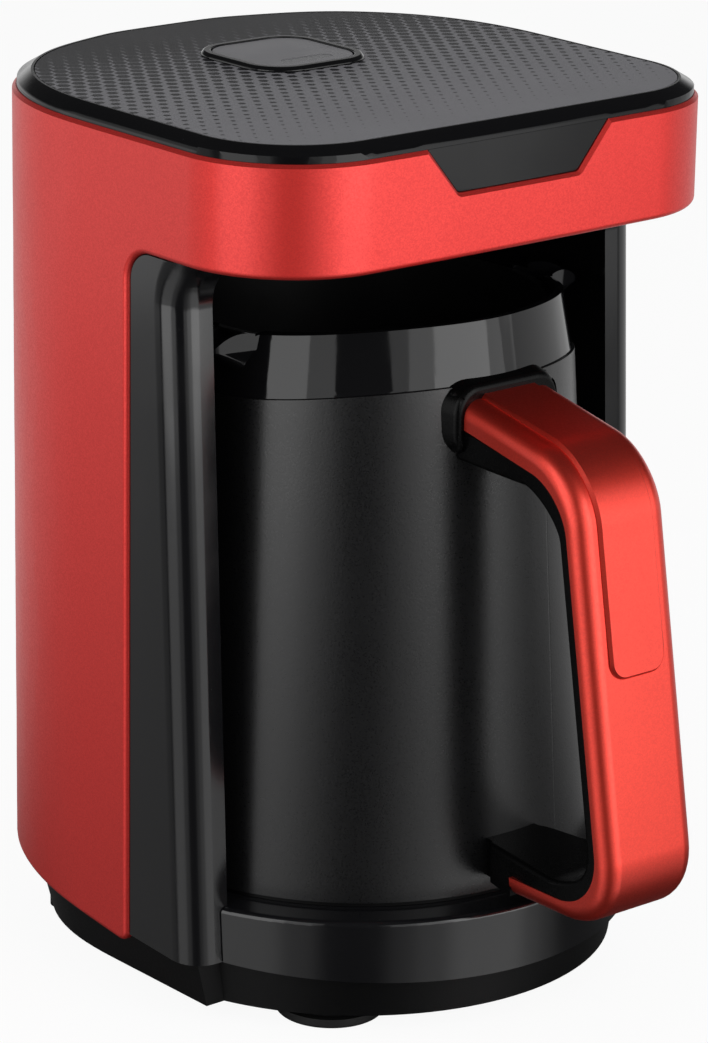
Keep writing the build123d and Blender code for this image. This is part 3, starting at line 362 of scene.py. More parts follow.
@dataclass(frozen=True)
class GrainedPlastic:
    """Moulded plastic with an even spark-eroded grain."""

    name: str
    colour: Colour = (0.010, 0.010, 0.011)
    roughness: float = 0.5
    grain: float = 0.0006
    depth: float = 0.00003
    level: float = 0.5
    cloud: float = 0.018
    cloud_share: float = 0.5
    lift: float = 0.0008
    gain: float = 1.6

    def make(self) -> Material:
        """Build the material."""
        s = Shader(self.name)
        grain = s.noise(self.grain)
        cloud = s.noise(self.cloud, 3.0)
        lighter = tuple(min(1.0, c * self.gain + self.lift) for c in self.colour)
        tone = s.mix(cloud.between(0.3, 0.8, 0.0, self.cloud_share), self.colour, lighter)
        rough = self.roughness + grain.swing(0.22) + cloud.swing(0.08)
        return s.finish(Base_Color=tone, Roughness=rough, Normal=s.bump(grain, self.depth, 0.7),
                        Specular_IOR_Level=self.level)


@dataclass(frozen=True)
class PotCoating:
    """Matte black coating of the pot's sleeve: a fine sandy grain and one faint upright seam."""

    name: str
    colour: Colour = (0.004, 0.004, 0.0044)
    light: Colour = (0.013, 0.013, 0.014)
    seam_colour: Colour = (0.004, 0.004, 0.004)
    roughness: float = 0.30
    level: float = 0.62
    seam_turn: float = 16.0
    seam_width: float = 0.00035
    sand: float = 0.00045
    cell: float = 0.0007
    cloud: float = 0.03
    relief: float = 0.00004

    def make(self) -> Material:
        """Build the material."""
        s = Shader(self.name)
        x, y = s.axes()
        turn = math.radians(self.seam_turn)
        across = x * math.cos(turn) + (y - POT_AXIS_Y) * math.sin(turn)
        ahead = x * math.sin(turn) - (y - POT_AXIS_Y) * math.cos(turn)
        seam = across.absolute().between(self.seam_width * 0.4, self.seam_width, 1.0, 0.0)
        seam = seam * ahead.between(0.01, 0.02)
        sand, cells, cloud = s.noise(self.sand, 3.0), s.cells(self.cell), s.noise(self.cloud)
        tone = s.mix(sand.between(0.45, 0.8, 0.0, 0.5), self.colour, self.light)
        tone = s.mix(seam * 0.6, tone, self.seam_colour)
        rough = self.roughness + sand.swing(0.2) + cloud.swing(0.06)
        height = sand * 0.6 + cells * 0.4 - seam * 2.0
        return s.finish(Base_Color=tone, Roughness=rough, Normal=s.bump(height, self.relief, 0.55),
                        Specular_IOR_Level=self.level)


@dataclass(frozen=True)
class HalftonePanel:
    """Satin dark grey lid panel with darker hexagons that shrink towards the front."""

    name: str
    # Mid grey, lighter than the panel's own dark grey: partly its colour, partly a painted reflection of the white
    # backdrop and painted light.
    colour: Colour = (0.170, 0.168, 0.180)
    dark: Colour = (0.014, 0.014, 0.016)
    worn: Colour = (0.09, 0.09, 0.095)
    pitch: float = 4.7 * MM
    row: float = 3.55 * MM
    extent: Span = (-0.058, 0.086)
    fade: Span = (0.03, 0.12)
    growth: float = 1.05
    fill: float = 0.56
    border: float = 0.00012
    ink: float = 0.97
    roughness: float = 0.45
    level: float = 0.3
    grain: float = 0.0004
    cloud: float = 0.03
    relief: float = 0.000012

    def lattice(self, x: Val, y: Val, shift: float) -> Val:
        """Hexagonal distance to one of the two staggered lattices.

        Args:
            x: Position across.
            y: Position along.
            shift: 0 for the first lattice and 0.5 for the other.

        Returns:
            Distance in metres.
        """
        across = ((x / self.pitch + (0.5 + shift)).fraction() - 0.5).absolute() * self.pitch
        along = ((y / (2 * self.row) + (0.5 + shift)).fraction() - 0.5).absolute() * (2 * self.row)
        return across.most(across * 0.5 + along * 0.87)

    def make(self) -> Material:
        """Build the material."""
        s = Shader(self.name)
        x, y = s.axes()
        near = self.lattice(x, y, 0.0).least(self.lattice(x, y, 0.5))
        span = (y - POT_AXIS_Y).between(*self.extent, smooth=False)
        radius = (span ** self.growth) * (self.pitch * self.fill)
        hexes = (near - radius).between(-self.border, self.border, 1.0, 0.0) * span.between(*self.fade)
        grain, cloud = s.noise(self.grain), s.noise(self.cloud)
        tone = s.mix(hexes * self.ink, self.colour, self.dark)
        tone = s.mix(cloud.between(0.35, 0.75, 0.0, 0.10), tone, self.worn)
        rough = self.roughness - hexes * 0.06 + grain.swing(0.12)
        return s.finish(Base_Color=tone, Roughness=rough, Normal=s.bump(grain - hexes * 0.5, self.relief, 0.5),
                        Specular_IOR_Level=self.level)


@dataclass(frozen=True)
class Metal:
    """Bare or plated metal with an even scratch pattern and cloudy stains."""

    name: str
    colour: Colour = (0.55, 0.55, 0.56)
    roughness: float = 0.3
    stain: Colour = (0.30, 0.29, 0.28)
    stain_share: float = 0.45
    scratch: float = 0.0006
    cloud: float = 0.012
    relief: float = 0.000015

    def make(self) -> Material:
        """Build the material."""
        s = Shader(self.name)
        scratch, cloud = s.noise(self.scratch, 3.0), s.noise(self.cloud, 3.0)
        tone = s.mix(cloud.between(0.45, 0.85, 0.0, self.stain_share), self.colour, self.stain)
        rough = self.roughness + scratch.swing(0.25) + cloud.swing(0.1)
        return s.finish(Base_Color=tone, Roughness=rough, Metallic=1.0, Normal=s.bump(scratch, self.relief, 0.4))


@dataclass(frozen=True)
class Rubber:
    """Dull rubber with a dusty bloom in patches."""

    name: str
    colour: Colour = (0.004, 0.004, 0.0043)
    dusty: Colour = (0.018, 0.018, 0.018)
    roughness: float = 0.62
    grain: float = 0.0008
    bloom: float = 0.006
    relief: float = 0.00004

    def make(self) -> Material:
        """Build the material."""
        s = Shader(self.name)
        grain, bloom = s.noise(self.grain, 3.0), s.noise(self.bloom, 3.0)
        tone = s.mix(bloom.between(0.5, 0.85, 0.0, 0.5), self.colour, self.dusty)
        return s.finish(Base_Color=tone, Roughness=self.roughness + grain.swing(0.2),
                        Normal=s.bump(grain, self.relief, 0.5))


@dataclass(frozen=True)
class Laminate:
    """Green circuit board with faint tracks under the mask."""

    name: str
    colour: Colour = (0.015, 0.12, 0.045)
    track: Colour = (0.05, 0.26, 0.09)
    shade: Colour = (0.01, 0.07, 0.03)
    roughness: float = 0.3
    track_pitch: float = 0.006
    weave: float = 0.0009
    relief: float = 0.00003

    def make(self) -> Material:
        """Build the material."""
        s = Shader(self.name)
        track = s.cells(self.track_pitch, "DISTANCE_TO_EDGE").between(0.05, 0.09, 1.0, 0.0)
        weave = s.noise(self.weave)
        tone = s.mix(track * 0.6, self.colour, self.track)
        tone = s.mix(weave.between(0.5, 0.8, 0.0, 0.2), tone, self.shade)
        return s.finish(Base_Color=tone, Roughness=self.roughness + weave * 0.1,
                        Normal=s.bump(track, self.relief, 0.5))


@dataclass(frozen=True)
class Window:
    """Smoked translucent moulding with a soft ribbed look."""

    name: str
    colour: Colour = (0.05, 0.05, 0.055)
    rib: float = 0.0009
    rib_colour: Colour = (0.16, 0.16, 0.17)
    roughness: float = 0.16
    cloud: float = 0.004
    relief: float = 0.00002

    def make(self) -> Material:
        """Build the material."""
        s = Shader(self.name)
        ribs = ((s.axes()[0] / self.rib).fraction() - 0.5).absolute() * 2.0
        cloud = s.noise(self.cloud)
        tone = s.mix(ribs * 0.35 + cloud * 0.2, self.colour, self.rib_colour)
        return s.finish(Base_Color=tone, Roughness=self.roughness + cloud * 0.08,
                        Normal=s.bump(ribs, self.relief, 0.5))


@dataclass(frozen=True)
class Floor:
    """Studio floor: near white to the camera with a faint shadow, grey to bounced light and reflections."""

    name: str
    colour: Colour = (0.80, 0.80, 0.80)
    patch: Colour = (0.74, 0.74, 0.74)
    shaded: Colour = (0.10, 0.10, 0.10)
    sheen: Colour = (0.40, 0.40, 0.40)
    sheen_roughness: float = 0.3
    glow: float = 0.93
    mirrored: float = 0.6
    behind: Span = (-0.05, 0.30)
    grain: float = 0.02

    def make(self) -> Material:
        """Build the material."""
        s = Shader(self.name)
        x, y = s.axes()
        turn = math.radians(VIEW_AZIMUTH)
        behind = (y * math.cos(turn) - x * math.sin(turn)).between(*self.behind)
        path = s.node("ShaderNodeLightPath")
        seen = s.value(path, "Is Camera Ray").most(s.value(path, "Is Transmission Ray"))
        bounced = s.value(path, "Is Glossy Ray")
        pale = s.mix(s.noise(self.grain) * 0.02, self.colour, self.patch)
        matte = s.node("ShaderNodeBsdfDiffuse", None, {"Color": s.mix(seen, self.shaded, pale)})
        sheen = s.node("ShaderNodeBsdfAnisotropic", None, {"Color": self.sheen, "Roughness": self.sheen_roughness})
        light = s.node("ShaderNodeEmission", None, {"Color": WHITE, "Strength": 1.0})
        factor = (seen * self.glow).most(bounced * behind * self.mirrored)
        s.close(s.blend(factor, s.blend(bounced, matte, sheen), light))
        s.material.cycles.emission_sampling = "NONE"
        return s.material


MADE: dict[str, Material] = {}


class Finish(Enum):
    """Every finish of the machine by its plain name."""

    RED_SHELL = Lacquer("red_shell_lacquer")
    RED_HANDLE = Lacquer("red_handle_lacquer", (0.86, 0.064, 0.040), (0.70, 0.046, 0.031), 0.96, 0.42)
    GLOSS_BLACK = GlossMoulding("gloss_black_moulding", (0.0045, 0.0045, 0.0052), 0.13, 0.62)
    RING = GlossMoulding("button_ring")
    COLLAR_BLACK = GlossMoulding("polished_collar", (0.004, 0.004, 0.0045), 0.05)
    SATIN_BLACK = GrainedPlastic("satin_black_moulding", (0.0010, 0.0010, 0.0011), 0.30, 0.0005, 0.000010, 0.12)
    MATTE_BLACK = GrainedPlastic("matte_black_moulding", (0.0016, 0.0016, 0.0018), 0.42, level=0.2)
    BEZEL = GlossMoulding("bezel_gloss", (0.0035, 0.0035, 0.0040), 0.12, 0.28)
    POT = PotCoating("pot_coating")
    PANEL = HalftonePanel("halftone_panel")
    BUTTON = GlossMoulding("button_face", (0.150, 0.148, 0.158), 0.30, 0.3)
    WINDOW = Window("light_window_moulding")
    RUBBER = Rubber("black_rubber")
    # The cup's inside is near black all over, as dark as it looks in the shade under the head.
    CUP = GrainedPlastic("near_black_cup_inside", (0.006, 0.006, 0.0065), 0.34, 0.0005, 0.000010)
    PLATED = Metal("plated_steel", (0.52, 0.52, 0.53), 0.32)
    ALUMINIUM = Metal("cast_aluminium", (0.72, 0.72, 0.73), 0.4)
    ELEMENT = Metal("element_sheath", (0.30, 0.29, 0.28), 0.45, stain=(0.12, 0.10, 0.10))
    BRASS = Metal("brass_plate", (0.70, 0.52, 0.22), 0.25, stain=(0.40, 0.27, 0.10))
    BOARD = Laminate("circuit_board")
    RELAY = GrainedPlastic("relay_case", (0.015, 0.06, 0.24), 0.35)
    TAPE = GrainedPlastic("transformer_tape", (0.62, 0.42, 0.06), 0.4)
    SENSOR_GLASS = Window("sensor_lens", (0.02, 0.015, 0.02), 0.002)

    def material(self) -> Material:
        """The finish's material, built once."""
        if self.name not in MADE:
            MADE[self.name] = self.value.make()
        return MADE[self.name]


# ---- helpers for pieces
def dress(node: str, finish: Finish) -> None:
    """Give a CAD node one finish.

    Args:
        node: The node's name.
        finish: Its finish.
    """
    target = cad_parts[node]
    target.data.materials.clear()
    target.data.materials.append(finish.material())
    log.info("dressed %s with %s", node, finish.name)


def creases(bm: BMesh, angle: float) -> list[BMEdge]:
    """Edges whose two faces meet at more than an angle in degrees."""
    return [e for e in bm.edges if len(e.link_faces) == 2 and e.calc_face_angle(0.0) > math.radians(angle)]


def bevel(bm: BMesh, geom: Iterable[Any], offset: float, segments: int = 1, clamp: bool = False,
          affect: str = "EDGES") -> None:
    """Chamfer or round edges or corners.

    Args:
        bm: The mesh.
        geom: The edges, or the vertices.
        offset: Distance from the edge to where the bevel starts.
        segments: Faces across the bevel.
        clamp: Whether it stops where it would run into its neighbours.
        affect: EDGES or VERTICES.
    """
    bmesh.ops.bevel(bm, geom=list(geom), offset=offset, offset_type="OFFSET", segments=segments,
                    profile=0.5, affect=affect, clamp_overlap=clamp, material=-1)


def show(name: str, bm: BMesh, finish: Finish, sharp: float) -> Object:
    """Make an object of a finished bmesh, smooth but for its sharp edges.

    Args:
        name: The piece's name.
        bm: Its mesh, which is freed.
        finish: Its finish.
        sharp: Angle in degrees past which an edge stays sharp.

    Returns:
        The piece.
    """
    mesh = bpy.data.meshes.new(name)
    bm.to_mesh(mesh)
    bm.free()
    mesh.shade_smooth()
    mesh.set_sharp_from_angle(angle=math.radians(sharp))
    mesh.materials.append(finish.material())
    piece = bpy.data.objects.new(name, mesh)
    bpy.context.scene.collection.objects.link(piece)
    even = piece.modifiers.new("even_normals", "WEIGHTED_NORMAL")
    even.keep_sharp = True
    even.mode = "FACE_AREA_WITH_ANGLE"
    log.info("built %s: %d faces", name, len(mesh.polygons))
    return piece


@dataclass
class Refined:
    """A fine copy of a CAD node: merged, with rounded edges and smooth shading."""

    node: str
    body: str
    finish: Finish
    slot: str
    edge: float
    segments: int = 2
    sharp: float = 32.0
    flat: float = 0.06

    def shape(self, bm: BMesh) -> None:
        """Change the merged copy before its edges are rounded."""

    def build(self) -> None:
        """Copy, merge, round and smooth the node, and put the copy in its place."""
        bm = bmesh.new()
        bm.from_mesh(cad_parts[self.node].data)
        bmesh.ops.remove_doubles(bm, verts=bm.verts, dist=WELD)
        bmesh.ops.dissolve_limit(bm, angle_limit=math.radians(self.flat), verts=bm.verts, edges=bm.edges)
        self.shape(bm)
        bevel(bm, creases(bm, self.sharp), self.edge, self.segments, clamp=True)
        piece = show(self.node + "_fine", bm, self.finish, self.sharp)
        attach(piece, self.body)
        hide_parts(self.node)


@dataclass
class Shell(Refined):
    """Outer skin with a bevel round the badge's notch."""

    notch_bevel: float = 0.9 * MM
    notch_reach: float = 20.0 * MM
    notch_half: float = 42.0 * MM
    notch_crease: float = 40.0
    rim_gap: float = 0.25 * MM
    faces_front: float = -0.8
    faces_in: float = -0.4

    def shape(self, bm: BMesh) -> None:
        """Bevel the notch's outer edge.

        Args:
            bm: The merged copy of the skin.
        """
        top = max(v.co.z for v in bm.verts)
        rim = []
        for edge in creases(bm, self.notch_crease):
            spot = (edge.verts[0].co + edge.verts[1].co) / 2
            if abs(spot.x) > self.notch_half or not top - self.notch_reach <= spot.z <= top - self.rim_gap:
                continue
            outward = [f.normal.y for f in edge.link_faces]
            if min(outward) < self.faces_front and max(outward) > self.faces_in:
                rim.append(edge)
        bevel(bm, rim, self.notch_bevel)
        bm.normal_update()


@dataclass
class Bezel(Refined):
    """The lid's frame: an upright gloss band, a low slope above it and the badge in line with the band."""

    band_height: float = 1.8 * MM
    band_push: float = 1.48 * MM
    foot_pull: float = 0.22 * MM
    badge_pull: float = 0.62 * MM
    badge_depth: float = 1.0 * MM
    slope: Span = (0.3, 0.95)

    def shape(self, bm: BMesh) -> None:
        """Cut the slope at the band's top, then move both rings and the badge.

        Args:
            bm: The merged copy of the frame.
        """
        top = max(v.co.z for v in bm.verts)
        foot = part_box("outer_shell")[1][2]
        low, high = self.slope
        bmesh.ops.bisect_plane(bm, geom=[*bm.verts, *bm.edges, *bm.faces], dist=SAME,
                               plane_co=(0, 0, foot + self.band_height), plane_no=(0, 0, 1))
        bm.normal_update()
        moves: dict[BMVert, Vector] = {}
        for vert in bm.verts:
            slopes = [f for f in vert.link_faces if low < f.normal.z < high and f.calc_center_median().z > foot]
            if not slopes or vert.co.z > top - WELD:
                continue
            out = sum((f.normal * f.calc_area() for f in slopes), Vector())
            out = Vector((out.x, out.y, 0)).normalized()
            moves[vert] = out * (self.band_push if vert.co.z > foot + WELD else -self.foot_pull)
        front = min(v.co.y for v in bm.verts)
        for vert in bm.verts:
            if vert not in moves and vert.co.z < foot + WELD and vert.co.y < front + self.badge_depth:
                moves[vert] = Vector((0, self.badge_pull, 0))
        for vert, move in moves.items():
            vert.co += move


# ---- sub-assemblies
@dataclass
class Housing:
    """Outer skin, bay, plinth, base plate and feet."""

    skin_edge: float = 0.45 * MM
    edge: float = 0.3 * MM
    foot_edge: float = 0.2 * MM

    def build(self) -> None:
        """Dress and refine the housing's nodes."""
        Shell("outer_shell", "machine", Finish.RED_SHELL, "red_shell", self.skin_edge).build()
        Refined("bay_housing", "machine", Finish.GLOSS_BLACK, "gloss_black", self.edge).build()
        Refined("platform", "machine", Finish.GLOSS_BLACK, "gloss_black", self.edge).build()
        Refined("base_plate", "machine", Finish.MATTE_BLACK, "matte_black", self.edge).build()
        Refined("rubber_feet", "machine", Finish.RUBBER, "foot_rubber", self.foot_edge).build()
        dress("bay_ceiling", Finish.SATIN_BLACK)
        dress("cord_gland", Finish.RUBBER)
        dress("base_screws", Finish.PLATED)
        dress("ceiling_screws", Finish.PLATED)


@dataclass
class Lid:
    """Bevelled frame, patterned panel and the start button."""

    frame_edge: float = 0.12 * MM
    panel_edge: float = 0.15 * MM
    ring_edge: float = 0.3 * MM
    ring_segments: int = 3

    def build(self) -> None:
        """Dress and refine the lid's nodes."""
        Bezel("top_bezel", "machine", Finish.BEZEL, "gloss_black", self.frame_edge).build()
        Refined("top_panel", "machine", Finish.PANEL, "panel_grey", self.panel_edge).build()
        Refined("button_bezel", "machine", Finish.RING, "gloss_black", self.ring_edge, self.ring_segments).build()
        Refined("start_button", "start_button", Finish.BUTTON, "button_grey", self.panel_edge).build()
        dress("button_light", Finish.WINDOW)
        dress("switch_plunger", Finish.SATIN_BLACK)


@dataclass
class Works:
    """Board, connector and the small parts out of sight."""

    finishes: dict[Finish, tuple[str, ...]] = field(default_factory=lambda: {
        Finish.SATIN_BLACK: ("tact_switch", "buzzer", "pot_connector"),
        Finish.MATTE_BLACK: ("base_connector", "pot_base"),
        Finish.BOARD: ("control_board",), Finish.RELAY: ("relay",), Finish.TAPE: ("transformer",),
        Finish.SENSOR_GLASS: ("sensor_window",), Finish.BRASS: ("contact_pins", "contact_pads"),
        Finish.ALUMINIUM: ("heat_spreader",), Finish.ELEMENT: ("heating_element",),
        Finish.PLATED: ("board_screws", "boil_sensor", "pot_base_screws", "element_clamp", "thermostat",
                        "thermal_fuse", "handle_screws"),
    })

    def build(self) -> None:
        """Dress every hidden node."""
        for finish, nodes in self.finishes.items():
            for node in nodes:
                dress(node, finish)


@dataclass
class Pot:
    """Sleeve, collar and cup of the lift-off pot."""

    edge: float = 0.2 * MM
    collar_edge: float = 0.3 * MM

    def build(self) -> None:
        """Refine the pot's visible nodes."""
        Refined("pot_sleeve", "pot", Finish.POT, "pot_black", self.edge).build()
        Refined("pot_collar", "pot", Finish.COLLAR_BLACK, "collar_black", self.collar_edge).build()
        # The slot keeps the record's name; the cup's finish is near black all over, as dark as the shade under the
        # head.
        Refined("inner_cup", "pot", Finish.CUP, "cup_coating", self.edge).build()


def eased(value: float, low: float, high: float) -> float:
    """Smooth step of a value from 0 at low to 1 at high."""
    share = min(1.0, max(0.0, (value - low) / (high - low)))
    return share * share * (3 - 2 * share)


@dataclass(frozen=True)
class HandleLine:
    """The handle seen from the side: its leaning front and its sloping arm, from the pot's axis."""

    lean: float = math.radians(9.9)
    slope: float = math.radians(11.4)
    front_y: float = -120.6 * MM
    low: float = 38.2 * MM
    turn_radius: float = 26.5 * MM
    root_y: float = -57.5 * MM
    root_z: float = SLEEVE_BOX[1][2] - 0.7 * MM

    def front(self, z: float, depth: float) -> float:
        """y of the front face at one height, drawn in by a depth."""
        middle = self.front_y + self.turn_radius
        height = z - self.low - self.turn_radius
        return middle + math.tan(self.lean) * height - (self.turn_radius - depth) / math.cos(self.lean)

    def arm(self, y: float, depth: float) -> float:
        """z of the arm's top face at one y, drawn in by a depth."""
        return self.root_z + math.tan(self.slope) * (y - self.root_y) - depth / math.cos(self.slope)

    def behind_front(self, y: float, z: float) -> float:
        """Distance of a point behind the front face."""
        return (y - self.front(z, 0)) * math.cos(self.lean)

    def below_arm(self, y: float, z: float) -> float:
        """Distance of a point below the arm's top face."""
        return (self.arm(y, 0) - z) * math.cos(self.slope)

    def corner(self, front_depth: float, arm_depth: float) -> Span:
        """Where the front and the arm meet, each drawn in by its depth."""
        lean, slope = math.tan(self.lean), math.tan(self.slope)
        y = (self.front(0, front_depth) + lean * self.arm(0, arm_depth)) / (1 - lean * slope)
        return y, self.arm(y, arm_depth)


@dataclass
class Grip(Refined):
    """Black inner half of the handle, drawn out to the width and forward to the place of the cover."""

    line: HandleLine = HandleLine()
    half: float = 10.0 * MM
    half_slack: float = 0.05 * MM
    widen: float = 1.47
    neck_widen: float = 1.06
    flange_widen: float = 0.4
    neck_run: Span = (-73 * MM, -68 * MM)
    neck_rise: Span = (58 * MM, 70 * MM)
    forward: float = 6.0 * MM
    front_depth: float = 17.6 * MM
    front_fade: Span = (24 * MM, 36 * MM)
    turn_blend: Span = (-8 * MM, 8 * MM)
    lift: float = 4.5 * MM
    drop: float = 2.0 * MM
    arm_depth: float = 13.7 * MM
    root_run: Span = (-62 * MM, -59.6 * MM)
    pocket_depth: Span = (14.5 * MM, 17 * MM)
    block_run: Span = (-60 * MM, -57.9 * MM)
    block_low: float = 120 * MM
    block_back: float = 3.0 * MM
    sole_high: float = 44 * MM
    sole_fade: Span = (-72 * MM, -68 * MM)
    foot_high: float = 52 * MM
    foot_run: Span = (-86 * MM, -55 * MM)
    foot_crease: float = 50.0
    foot_round: float = 2.6 * MM
    foot_segments: int = 5

    def across(self, x: float, y: float, z: float) -> float:
        """New x of a point: wide along the arms, and narrow at the lower neck."""
        neck = eased(y, *self.neck_run) * (1 - eased(z, *self.neck_rise))
        scale = self.widen + (self.neck_widen - self.widen) * neck
        reach = abs(x)
        flange = self.half * scale + (reach - self.half) * self.flange_widen
        return math.copysign(reach * scale if reach <= self.half else flange, x)

    def shape(self, bm: BMesh) -> None:
        """Widen the arms and draw them to the cover.

        Args:
            bm: The merged copy of the grip.
        """
        line = self.line
        ahead = Vector((0, -math.cos(line.lean), math.sin(line.lean)))
        above = Vector((0, -math.sin(line.slope), math.cos(line.slope)))
        for vert in bm.verts:
            x, y, z = vert.co.x, vert.co.y - POT_AXIS_Y, vert.co.z
            front, arm = line.behind_front(y, z), line.below_arm(y, z)
            share = eased((arm - self.arm_depth) - (front - self.front_depth), *self.turn_blend)
            near = 1 - eased(front, *self.front_fade)
            if z < self.sole_high:
                near = max(near, 1 - eased(y, *self.sole_fade))
            pocket = self.lift * (1 - eased(arm, *self.pocket_depth))
            if arm < self.arm_depth:
                pocket = -self.drop + (self.lift + self.drop) * max(0.0, arm / self.arm_depth)
            if abs(x) > self.half + self.half_slack:
                pocket = 0.0
            rise = self.lift + (pocket - self.lift) * eased(y, *self.root_run)
            vert.co += ahead * (self.forward * near * share) + above * (rise * (1 - share))
            if self.block_run[0] < y < self.block_run[1] and z > self.block_low:
                vert.co.y += self.block_back
            vert.co.x = self.across(x, y, z)
        bm.normal_update()
        start, end = self.foot_run
        foot = [e for e in creases(bm, self.foot_crease)
                if all(v.co.z < self.foot_high and start < v.co.y - POT_AXIS_Y < end for v in e.verts)]
        bevel(bm, foot, self.foot_round, self.foot_segments, clamp=True)


@dataclass
class Handle:
    """Wide flat handle: a red cover with a raised inlay over the black grip, and a block round its root."""

    line: HandleLine = HandleLine()
    grip_edge: float = 0.35 * MM
    sharp: float = 40.0
    half: float = 15.0 * MM
    middle: Span = (-85 * MM, 100 * MM)
    front_depth: float = 6.6 * MM
    arm_depth: float = 2.0 * MM
    wall: float = 5.2 * MM
    arm_wall: float = 7.2 * MM
    end_y: float = -54.0 * MM
    top_radius: float = 22.0 * MM
    low_radius: float = 24.0 * MM
    bend_segments: int = 14
    edge_round: float = 4.6 * MM
    edge_segments: int = 8
    low: float = 39.0 * MM
    tip_y: float = -79.0 * MM
    tip_wall: float = 5.4 * MM
    block_half: float = 18.8 * MM
    block_front: float = -57.6 * MM
    block_back: float = -50.5 * MM
    block_height: float = 20.8 * MM
    block_rise: float = 2.5 * MM
    block_corner: float = 8.0 * MM
    block_draft: float = 0.90
    block_edge: float = 1.6 * MM
    block_crease: float = 40.0
    block_segments: int = 4
    inlay_half: float = 9.2 * MM
    inlay_rise: float = 1.0 * MM
    inlay_seat: float = 0.5 * MM
    inlay_slope: float = 0.8 * MM
    inlay_low: float = SLEEVE_BOX[1][2] - 64.0 * MM
    inlay_corner: float = 4.8 * MM
    inlay_crease: float = 50.0
    inlay_slack: float = 0.1 * MM
    bend_slack: float = 0.4 * MM

    def prism(self, outline: Sequence[Span], rounds: dict[int, float], half: float) -> BMesh:
        """Solid between two side planes.

        Args:
            outline: Corners of the side view.
            rounds: Tangent length of the rounding of each rounded corner.
            half: Half the width.

        Returns:
            The mesh.
        """
        bm = bmesh.new()
        verts = [bm.verts.new((-half, y + POT_AXIS_Y, z)) for y, z in outline]
        bm.faces.new(verts)
        for index, length in rounds.items():
            bevel(bm, [verts[index]], length, self.bend_segments, affect="VERTICES")
        made = bmesh.ops.extrude_face_region(bm, geom=bm.faces[:])
        moved = [v for v in made["geom"] if isinstance(v, BMVert)]
        bmesh.ops.translate(bm, vec=(2 * half, 0, 0), verts=moved)
        bmesh.ops.recalc_face_normals(bm, faces=bm.faces[:])
        return bm

    def outer_edges(self, bm: BMesh, half: float) -> list[BMEdge]:
        """The long edges of the outer surface on both sides.

        Args:
            bm: The mesh of the cover.
            half: Half its width.

        Returns:
            The edges.
        """
        middle = Vector((0, POT_AXIS_Y + self.middle[0], self.middle[1]))
        found = set()
        bm.normal_update()
        for face in bm.faces:
            normal, place = face.normal, face.calc_center_median() - middle
            if abs(normal.x) > 0.5 or normal.y > 0.9 or normal.dot(Vector((0, place.y, place.z))) < 0:
                continue
            found |= {e for e in face.edges if all(abs(abs(v.co.x) - half) < SAME for v in e.verts)
                      and e.verts[0].co.x * e.verts[1].co.x > 0}
        return list(found)

    def cover(self) -> Object:
        """Red outer half with wide rounded edges.

        Returns:
            The piece.
        """
        line, inner = self.line, self.front_depth + self.wall
        under = self.arm_depth + self.arm_wall
        low = self.low + self.tip_wall
        outline = [
            (self.end_y, line.arm(self.end_y, self.arm_depth)),
            line.corner(self.front_depth, self.arm_depth),
            (line.front(self.low, self.front_depth), self.low),
            (self.tip_y, self.low), (self.tip_y, low),
            (line.front(low, inner), low),
            line.corner(inner, under),
            (self.end_y, line.arm(self.end_y, under)),
        ]
        bend, fold = (math.pi / 2 - line.lean - line.slope) / 2, (math.pi / 2 - line.lean) / 2
        rounds = {1: self.top_radius * math.tan(bend), 2: self.low_radius * math.tan(fold),
                  5: (self.low_radius - self.wall) * math.tan(fold), 6: (self.top_radius - self.wall) * math.tan(bend)}
        bm = self.prism(outline, rounds, self.half)
        bevel(bm, self.outer_edges(bm, self.half), self.edge_round, self.edge_segments)
        return show("handle_cover_fine", bm, Finish.RED_HANDLE, self.sharp)

    def inlay(self) -> Object:
        """Raised panel on the cover with a sloping edge.

        Returns:
            The piece.
        """
        line = self.line
        front, arm = self.front_depth - self.inlay_rise, self.arm_depth - self.inlay_rise
        seat_front, seat_arm = self.front_depth + self.inlay_seat, self.arm_depth + self.inlay_seat
        outline = [
            (self.end_y, line.arm(self.end_y, arm)), line.corner(front, arm),
            (line.front(self.inlay_low, front), self.inlay_low),
            (line.front(self.inlay_low, seat_front), self.inlay_low), line.corner(seat_front, seat_arm),
            (self.end_y, line.arm(self.end_y, seat_arm)),
        ]
        bend = math.tan((math.pi / 2 - line.lean - line.slope) / 2)
        rounds = {1: (self.top_radius + self.inlay_rise) * bend, 4: (self.top_radius - self.inlay_seat) * bend}
        bm = self.prism(outline, rounds, self.inlay_half)
        ends = [e for e in bm.edges if all(abs(v.co.z - self.inlay_low) < SAME for v in e.verts)
                and abs(e.verts[0].co.x - e.verts[1].co.x) < SAME]
        bevel(bm, ends, self.inlay_corner, self.edge_segments)
        bm.normal_update()
        rim = [e for e in creases(bm, self.inlay_crease) if all(self.on_face(v.co, front, arm) for v in e.verts)]
        bevel(bm, rim, self.inlay_slope)
        return show("handle_inlay_fine", bm, Finish.RED_HANDLE, self.sharp)

    def on_face(self, place: Vector, front: float, arm: float) -> bool:
        """Whether a point lies on the inlay's outer face.

        Args:
            place: The point.
            front: Depth of the face behind the front line.
            arm: Depth of the face below the arm's line.

        Returns:
            True on the front, the arm or the bend between them.
        """
        y, z, line = place.y - POT_AXIS_Y, place.z, self.line
        if line.behind_front(y, z) < front + self.inlay_slack or line.below_arm(y, z) < arm + self.inlay_slack:
            return True
        radius = self.top_radius + self.inlay_rise
        middle = line.corner(front + radius, arm + radius)
        return math.hypot(y - middle[0], z - middle[1]) > radius - self.bend_slack

